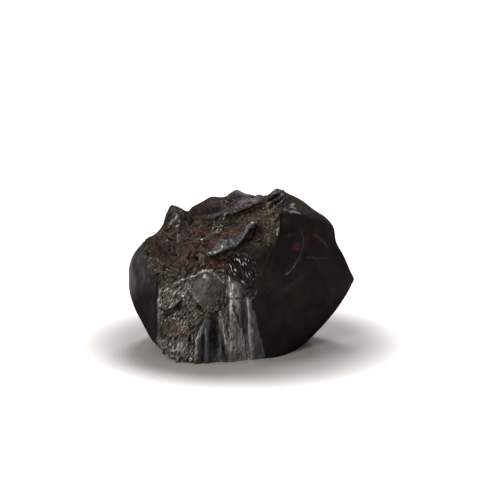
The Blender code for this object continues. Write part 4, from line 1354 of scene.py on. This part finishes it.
@dataclass(frozen=True)
class BrokenHematite:
    """Hematite, broken and left raw: one mineral, whose look changes with how each face broke, with painted
    shade, highlights, sheen and sparkle laid over it.
    """

    # A weathered back: dull brownish grey, as iron ore looks where it has long been open to the air.
    weathered: Finish = Finish("1b1816", "342e2a", 1.6, 0.55, 0.4, Run.EVEN, 0.06)
    looks: dict[Kind, Finish] = field(
        default_factory=lambda: {
            # The nodule's own skin: satin, steel grey, with faint upright striations.
            Kind.LOBE: Finish("1a1a19", "454342", 0.9, 0.48, 0.5, Run.UPRIGHT, 0.02),
            # The hackly break: bright and metallic, with a sparkle where its small chips catch the light.
            Kind.FRONT: Finish("181613", "5d5a52", 0.42, 0.38, 0.85, Run.HATCH, 0.17),
            # The same break along the mineral's fibres: the brightest ground, with upright lines.
            Kind.RIBS: Finish("343230", "9a9791", 0.55, 0.38, 0.85, Run.UPRIGHT, 0.09),
            # Broken ground with a skin of iron oxide: brown and dull.
            Kind.BROWN: Finish("140f0d", "544a41", 0.5, 0.46, 0.45, Run.HATCH, 0.17),
            # The glassy break: almost black, with a dull shine and faint green and red clouds.
            Kind.RIGHT: Finish("171716", "26221f", 3.5, 0.42, 0.25),
            Kind.SHOULDER: Finish("2a2721", "38342a", 2.5, 0.42, 0.35),
            # Thin films of iron oxide, which tint the breaks and dull their shine.
            Kind.PLUM: Finish("1f1617", "35272a", 0.8, 0.5, 0.3, Run.SLANT, 0.03),
            Kind.OLIVE: Finish("28261a", "48432d", 0.8, 0.48, 0.4, Run.HATCH, 0.03),
            Kind.TAN: Finish("241f18", "564d3e", 0.6, 0.48, 0.4, Run.UPRIGHT, 0.1),
            # Clean fibrous faces: steel blue, with a metal's shine.
            Kind.BLUE: Finish("27292d", "505459", 0.55, 0.38, 0.8, Run.UPRIGHT, 0.04),
            # Red iron oxide: powdery.
            Kind.RUST: Finish("371f1d", "603433", 0.7, 0.6, 0.15, Run.SLANT, 0.03),
            # A painted lilac sheen, which stands for the bluish light that the band, the shoulder and the
            # crown catch.
            Kind.PAINTED_SHEEN: Finish("2e2b31", "504c58", 0.5, 0.42, 0.75, Run.SLANT, 0.03),
            # Painted shade: the dark colour of cracks, clefts, undersides and the shadows under ledges, which
            # also gives a few patches a darker tone.
            Kind.DARK: Finish("131111", "231f1d", 0.8, 0.6, 0.0, Run.HATCH, 0.03),
            # Fresh breaks: bare and silvery grey, brightened in part as painted highlight; and the near-white
            # painted highlights on edges.
            Kind.SILVER_AND_HIGHLIGHT: Finish("504e4a", "7d7a75", 1.4, 0.4, 0.9, Run.SLANT, 0.01),
            Kind.PAINTED_HIGHLIGHT: Finish("8b8a89", "b7b6b5", 0.8, 0.34, 0.9, Run.HATCH, 0.01),
        }
    )
    # For each kind of fleck, which is painted sparkle: its run, its size in millimetres, how ragged and rare
    # it is, and its colour.
    flecks: tuple[tuple[Kind, Run, float, float, float, str], ...] = (
        (Kind.PALE, Run.HATCH, 0.34, 1.2, 0.6, "aeaba3"),
        (Kind.FLECK, Run.FLECK, 0.3, 0.3, 0.66, "bcbcb8"),
    )
    fleck_edge: float = 0.05
    specular_level: float = 0.0  # the metallic share alone makes the shine
    grain_detail: float = 3.0
    grain_roughness: float = 0.6
    chip_share: float = 0.35  # how far a grain's colour follows the chips of the mesh
    spread: tuple[float, ...] = (0.3, 0.7, 0.0, 1.0)  # the part of the noise that the two colours span
    noise_span: float = 0.5  # how much of its range the noise fills, for a grain's depth
    calm: tuple[float, ...] = (0.0, 1.0, 1.0, 0.25)  # the fine grain is flatter on even ground
    # Painted highlight on crests and painted shade in cracks.
    crests: tuple[float, ...] = (0.3, 0.75, 0.44, 1.6)  # from a crack to a crest, and how bright each is
    # Painted shade in the pits among the flecks.
    pits: tuple[float, ...] = (0.34, 0.44, 0.2, 1.0)  # from a pit to the ground, and how bright each is

    def material(self) -> bpy.types.Material:
        """Builds the material.

        Returns:
            The node material.
        """
        made = bpy.data.materials.new("hematite_broken_raw")
        made.use_nodes = True
        tree = made.node_tree
        shader = tree.nodes["Principled BSDF"]
        shader.inputs["Specular IOR Level"].default_value = self.specular_level
        where = add_node(tree, "ShaderNodeTexCoord", {}, {}).outputs["Object"]
        cover = {
            kind: add_node(tree, "ShaderNodeAttribute", {"attribute_name": kind.value}, {}).outputs["Fac"]
            for kind in Kind
        }
        # The place, turned and drawn out along each run.
        along = {}
        for run in Run:
            angle, longer, deeper = run.value
            turn = (0.0, -math.radians(angle), 0.0)
            inputs = {"Vector": where, "Rotation": turn, "Scale": (longer, deeper, 1.0)}
            along[run] = add_node(tree, "ShaderNodeMapping", {"vector_type": "TEXTURE"}, inputs).outputs[0]
        colour, *rest = self.look(tree, along, cover, self.weathered)
        for kind, look in self.looks.items():
            own_colour, *own = self.look(tree, along, cover, look)
            inputs = {0: cover[kind], 6: colour, 7: own_colour}
            colour = add_node(tree, "ShaderNodeMix", MIX_COLOURS, inputs).outputs[2]
            rest = [
                add_node(tree, "ShaderNodeMix", MIX_VALUES, {0: cover[kind], 2: old, 3: new}).outputs[0]
                for old, new in zip(rest, own)
            ]
        rough, metal, height = rest
        calm = add_node(tree, "ShaderNodeMapRange", {}, dict(enumerate((cover[Kind.EVEN], *self.calm))))
        height = add_node(tree, "ShaderNodeMath", MULTIPLY, {0: height, 1: calm.outputs[0]}).outputs[0]
        inputs = {"Strength": 1.0, "Distance": MM, "Height": height}
        bumped = add_node(tree, "ShaderNodeBump", {}, inputs).outputs[0]
        tree.links.new(self.painted_light_and_shade(tree, along, cover, colour), shader.inputs["Base Color"])
        tree.links.new(rough, shader.inputs["Roughness"])
        tree.links.new(metal, shader.inputs["Metallic"])
        tree.links.new(bumped, shader.inputs["Normal"])
        return made

    def look(
        self, tree: bpy.types.NodeTree, along: dict[Run, Any], cover: dict[Kind, Any], look: Finish
    ) -> tuple[Any, float, float, Any]:
        """Builds one look.

        Args:
            tree: The material's nodes.
            along: The place along each run.
            cover: The cover of each kind of surface.
            look: The look.

        Returns:
            Its colour, roughness, metallic share and height in millimetres.
        """
        inputs = {"Vector": along[look.run], "Scale": 1 / MM / look.grain}
        inputs |= {"Detail": self.grain_detail, "Roughness": self.grain_roughness}
        grain = add_node(tree, "ShaderNodeTexNoise", {}, inputs).outputs["Fac"]
        inputs = {0: self.chip_share, 2: grain, 3: cover[Kind.CHIP]}
        shade = add_node(tree, "ShaderNodeMix", MIX_VALUES, inputs).outputs[0]
        spread = add_node(tree, "ShaderNodeMapRange", {}, dict(enumerate((shade, *self.spread)))).outputs[0]
        inputs = {0: spread, 6: linear(look.dark), 7: linear(look.light)}
        colour = add_node(tree, "ShaderNodeMix", MIX_COLOURS, inputs).outputs[2]
        depth = look.relief / self.noise_span
        height = add_node(tree, "ShaderNodeMath", MULTIPLY, {0: grain, 1: depth}).outputs[0]
        return colour, look.roughness, look.metallic, height

    def painted_light_and_shade(
        self, tree: bpy.types.NodeTree, along: dict[Run, Any], cover: dict[Kind, Any], colour: Any
    ) -> Any:
        """Paints light and shade into the colour: a painted highlight on crests, painted shade in cracks, and
        painted sparkle of bright flecks among dark pits.

        Args:
            tree: The material's nodes.
            along: The place along each run.
            cover: The cover of each kind of surface.
            colour: The colour so far.

        Returns:
            The new colour.
        """
        # Painted highlight on crests and painted shade in cracks, from the surface's own crest measure.
        inputs = dict(enumerate((cover[Kind.CREST], *self.crests)))
        shade = add_node(tree, "ShaderNodeMapRange", {}, inputs).outputs[0]
        grey = add_node(tree, "ShaderNodeCombineColor", {}, {0: shade, 1: shade, 2: shade}).outputs[0]
        lit = add_node(tree, "ShaderNodeMix", SHADE_COLOURS, {0: 1.0, 6: colour, 7: grey}).outputs[2]
        # Painted shade in pits, then painted sparkle flecks, for each kind.
        for kind, run, size, ragged, rare, tone in self.flecks:
            inputs = {"Vector": along[run], "Scale": 1 / MM / size, "Detail": ragged}
            inputs["Roughness"] = self.grain_roughness
            grain = add_node(tree, "ShaderNodeTexNoise", {}, inputs).outputs["Fac"]
            shade = add_node(tree, "ShaderNodeMapRange", {}, dict(enumerate((grain, *self.pits)))).outputs[0]
            grey = add_node(tree, "ShaderNodeCombineColor", {}, {0: shade, 1: shade, 2: shade}).outputs[0]
            inputs = {0: cover[kind], 6: lit, 7: grey}
            lit = add_node(tree, "ShaderNodeMix", SHADE_COLOURS, inputs).outputs[2]
            inputs = dict(enumerate((grain, rare, rare + self.fleck_edge, 0.0, 1.0)))
            fleck = add_node(tree, "ShaderNodeMapRange", {}, inputs).outputs[0]
            seen = add_node(tree, "ShaderNodeMath", MULTIPLY, {0: fleck, 1: cover[kind]}).outputs[0]
            lit = add_node(tree, "ShaderNodeMix", MIX_COLOURS, {0: seen, 6: lit, 7: linear(tone)}).outputs[2]
        return lit


@dataclass(frozen=True)
class CardWithPaintedShadow:
    """Pale satin card, which mirrors what stands on it softly; its grey near the stone is a painted shadow,
    and a painted glow whitens it further out.
    """

    colour: str = "bab4ad"
    roughness: float = 0.35
    # Painted light: the glow that whitens the card away from the stone.
    glow: tuple[float, ...] = (0.024, 0.046, 0.0, 1.0)  # it starts to glow 24 to 46 mm from its middle
    glow_colour: str = "ffffff"

    def material(self) -> bpy.types.Material:
        """Builds the material.

        Returns:
            The node material.
        """
        made = bpy.data.materials.new("floor_card_painted_shadow")
        made.use_nodes = True
        tree = made.node_tree
        shader = tree.nodes["Principled BSDF"]
        shader.inputs["Base Color"].default_value = linear(self.colour)
        shader.inputs["Roughness"].default_value = self.roughness
        # Painted light: the card glows white from 24 to 46 mm out, which leaves its grey as a painted shadow
        # round the stone.
        where = add_node(tree, "ShaderNodeTexCoord", {}, {}).outputs["Object"]
        away = add_node(tree, "ShaderNodeVectorMath", {"operation": "LENGTH"}, {0: where}).outputs["Value"]
        eased = {"interpolation_type": "SMOOTHSTEP"}
        glow = add_node(tree, "ShaderNodeMapRange", eased, dict(enumerate((away, *self.glow)))).outputs[0]
        tree.links.new(glow, shader.inputs["Emission Strength"])
        shader.inputs["Emission Color"].default_value = linear(self.glow_colour)
        return made


# ---------------------------------------------------------------------------------------------------------
# Studio
# ---------------------------------------------------------------------------------------------------------


@dataclass(frozen=True)
class Softbox:
    """A soft light: where it stands from the stone in degrees and metres, its size, power and colour."""

    name: str
    azimuth: float
    elevation: float
    distance: float
    width: float
    power: float
    colour: str


@dataclass
class Studio:
    """The pale floor, the soft lights and the camera."""

    heart: tuple[float, float, float] = HEART
    look_down: float = LOOK_DOWN
    floor_side: float = 6.0
    room_colour: str = "f0f0f2"
    room_strength: float = 0.38
    frame_width: int = 500
    pixel: float = 0.2212  # millimetres to a point of the frame, at the heart
    heart_at: tuple[float, float] = (242.0, 278.0)  # the heart's place in the frame
    lens: float = 150.0
    sensor: float = 36.0
    clip: tuple[float, float] = (0.01, 20.0)
    lights: tuple[Softbox, ...] = (
        Softbox("key_softbox", -34, 26, 0.7, 0.3, 2.2, "fffdf8"),
        Softbox("side_softbox", -86, 42, 0.6, 0.2, 0.7, "fbfbff"),
        Softbox("top_softbox", 172, 56, 0.8, 0.3, 4.6, "f4f5ff"),
    )

    def floor(self) -> bpy.types.Object:
        """Makes the floor.

        Returns:
            The floor as one object.
        """
        shape = bmesh.new()
        bmesh.ops.create_grid(shape, x_segments=1, y_segments=1, size=self.floor_side / 2)
        mesh = bpy.data.meshes.new("floor")
        shape.to_mesh(mesh)
        shape.free()
        made = bpy.data.objects.new("floor", mesh)
        bpy.context.scene.collection.objects.link(made)
        mesh.materials.append(CardWithPaintedShadow().material())
        return made

    def hold(self, name: str, thing: bpy.types.ID, away: Vector, distance: float) -> bpy.types.Object:
        """Hangs a light or the camera so that it looks at the heart of the stone.

        Args:
            name: Its name.
            thing: The light's or camera's data.
            away: The unit vector from the heart towards it.
            distance: How far from the heart it is, in metres.

        Returns:
            Its object.
        """
        holder = bpy.data.objects.new(name, thing)
        bpy.context.scene.collection.objects.link(holder)
        holder.location = Vector(self.heart) * MM + away * distance
        holder.rotation_mode = "QUATERNION"
        holder.rotation_quaternion = away.to_track_quat("Z", "Y")
        return holder

    def light(self) -> None:
        """Hangs the soft lights and sets the room's own light."""
        for box in self.lights:
            lamp = bpy.data.lights.new(box.name, "AREA")
            lamp.energy = box.power
            lamp.size = box.width
            lamp.color = linear(box.colour)[:3]
            a, e = math.radians(box.azimuth), math.radians(box.elevation)
            away = Vector((math.sin(a) * math.cos(e), -math.cos(a) * math.cos(e), math.sin(e)))
            self.hold(box.name, lamp, away, box.distance)
        world = bpy.data.worlds.new("room")
        world.use_nodes = True
        room = world.node_tree.nodes["Background"]
        room.inputs["Color"].default_value = linear(self.room_colour)
        room.inputs["Strength"].default_value = self.room_strength
        bpy.context.scene.world = world

    def camera(self) -> None:
        """Sets the camera up, a little above the stone."""
        lens = bpy.data.cameras.new("camera")
        lens.lens = self.lens
        lens.sensor_width = self.sensor
        lens.clip_start, lens.clip_end = self.clip
        middle = self.frame_width / 2
        lens.shift_x = (middle - self.heart_at[0]) / self.frame_width
        lens.shift_y = (self.heart_at[1] - middle) / self.frame_width
        e = math.radians(self.look_down)
        distance = self.frame_width * self.pixel * MM * self.lens / self.sensor
        holder = self.hold("camera", lens, Vector((0, -math.cos(e), math.sin(e))), distance)
        bpy.context.scene.camera = holder
        bpy.context.scene.view_settings.view_transform = "Standard"


def main() -> None:
    """Builds the studio and the stone."""
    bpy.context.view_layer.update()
    studio = Studio()
    studio.floor()
    studio.light()
    studio.camera()
    maker = HematiteStone()
    stone = maker.build()
    maker.dress(stone)
    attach(stone, "root")
    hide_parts(NODE)
    LOG.info("%s: %d triangles", stone.name, len(stone.data.polygons))


if __name__ == "__main__":
    logging.basicConfig(level=logging.INFO)
    main()
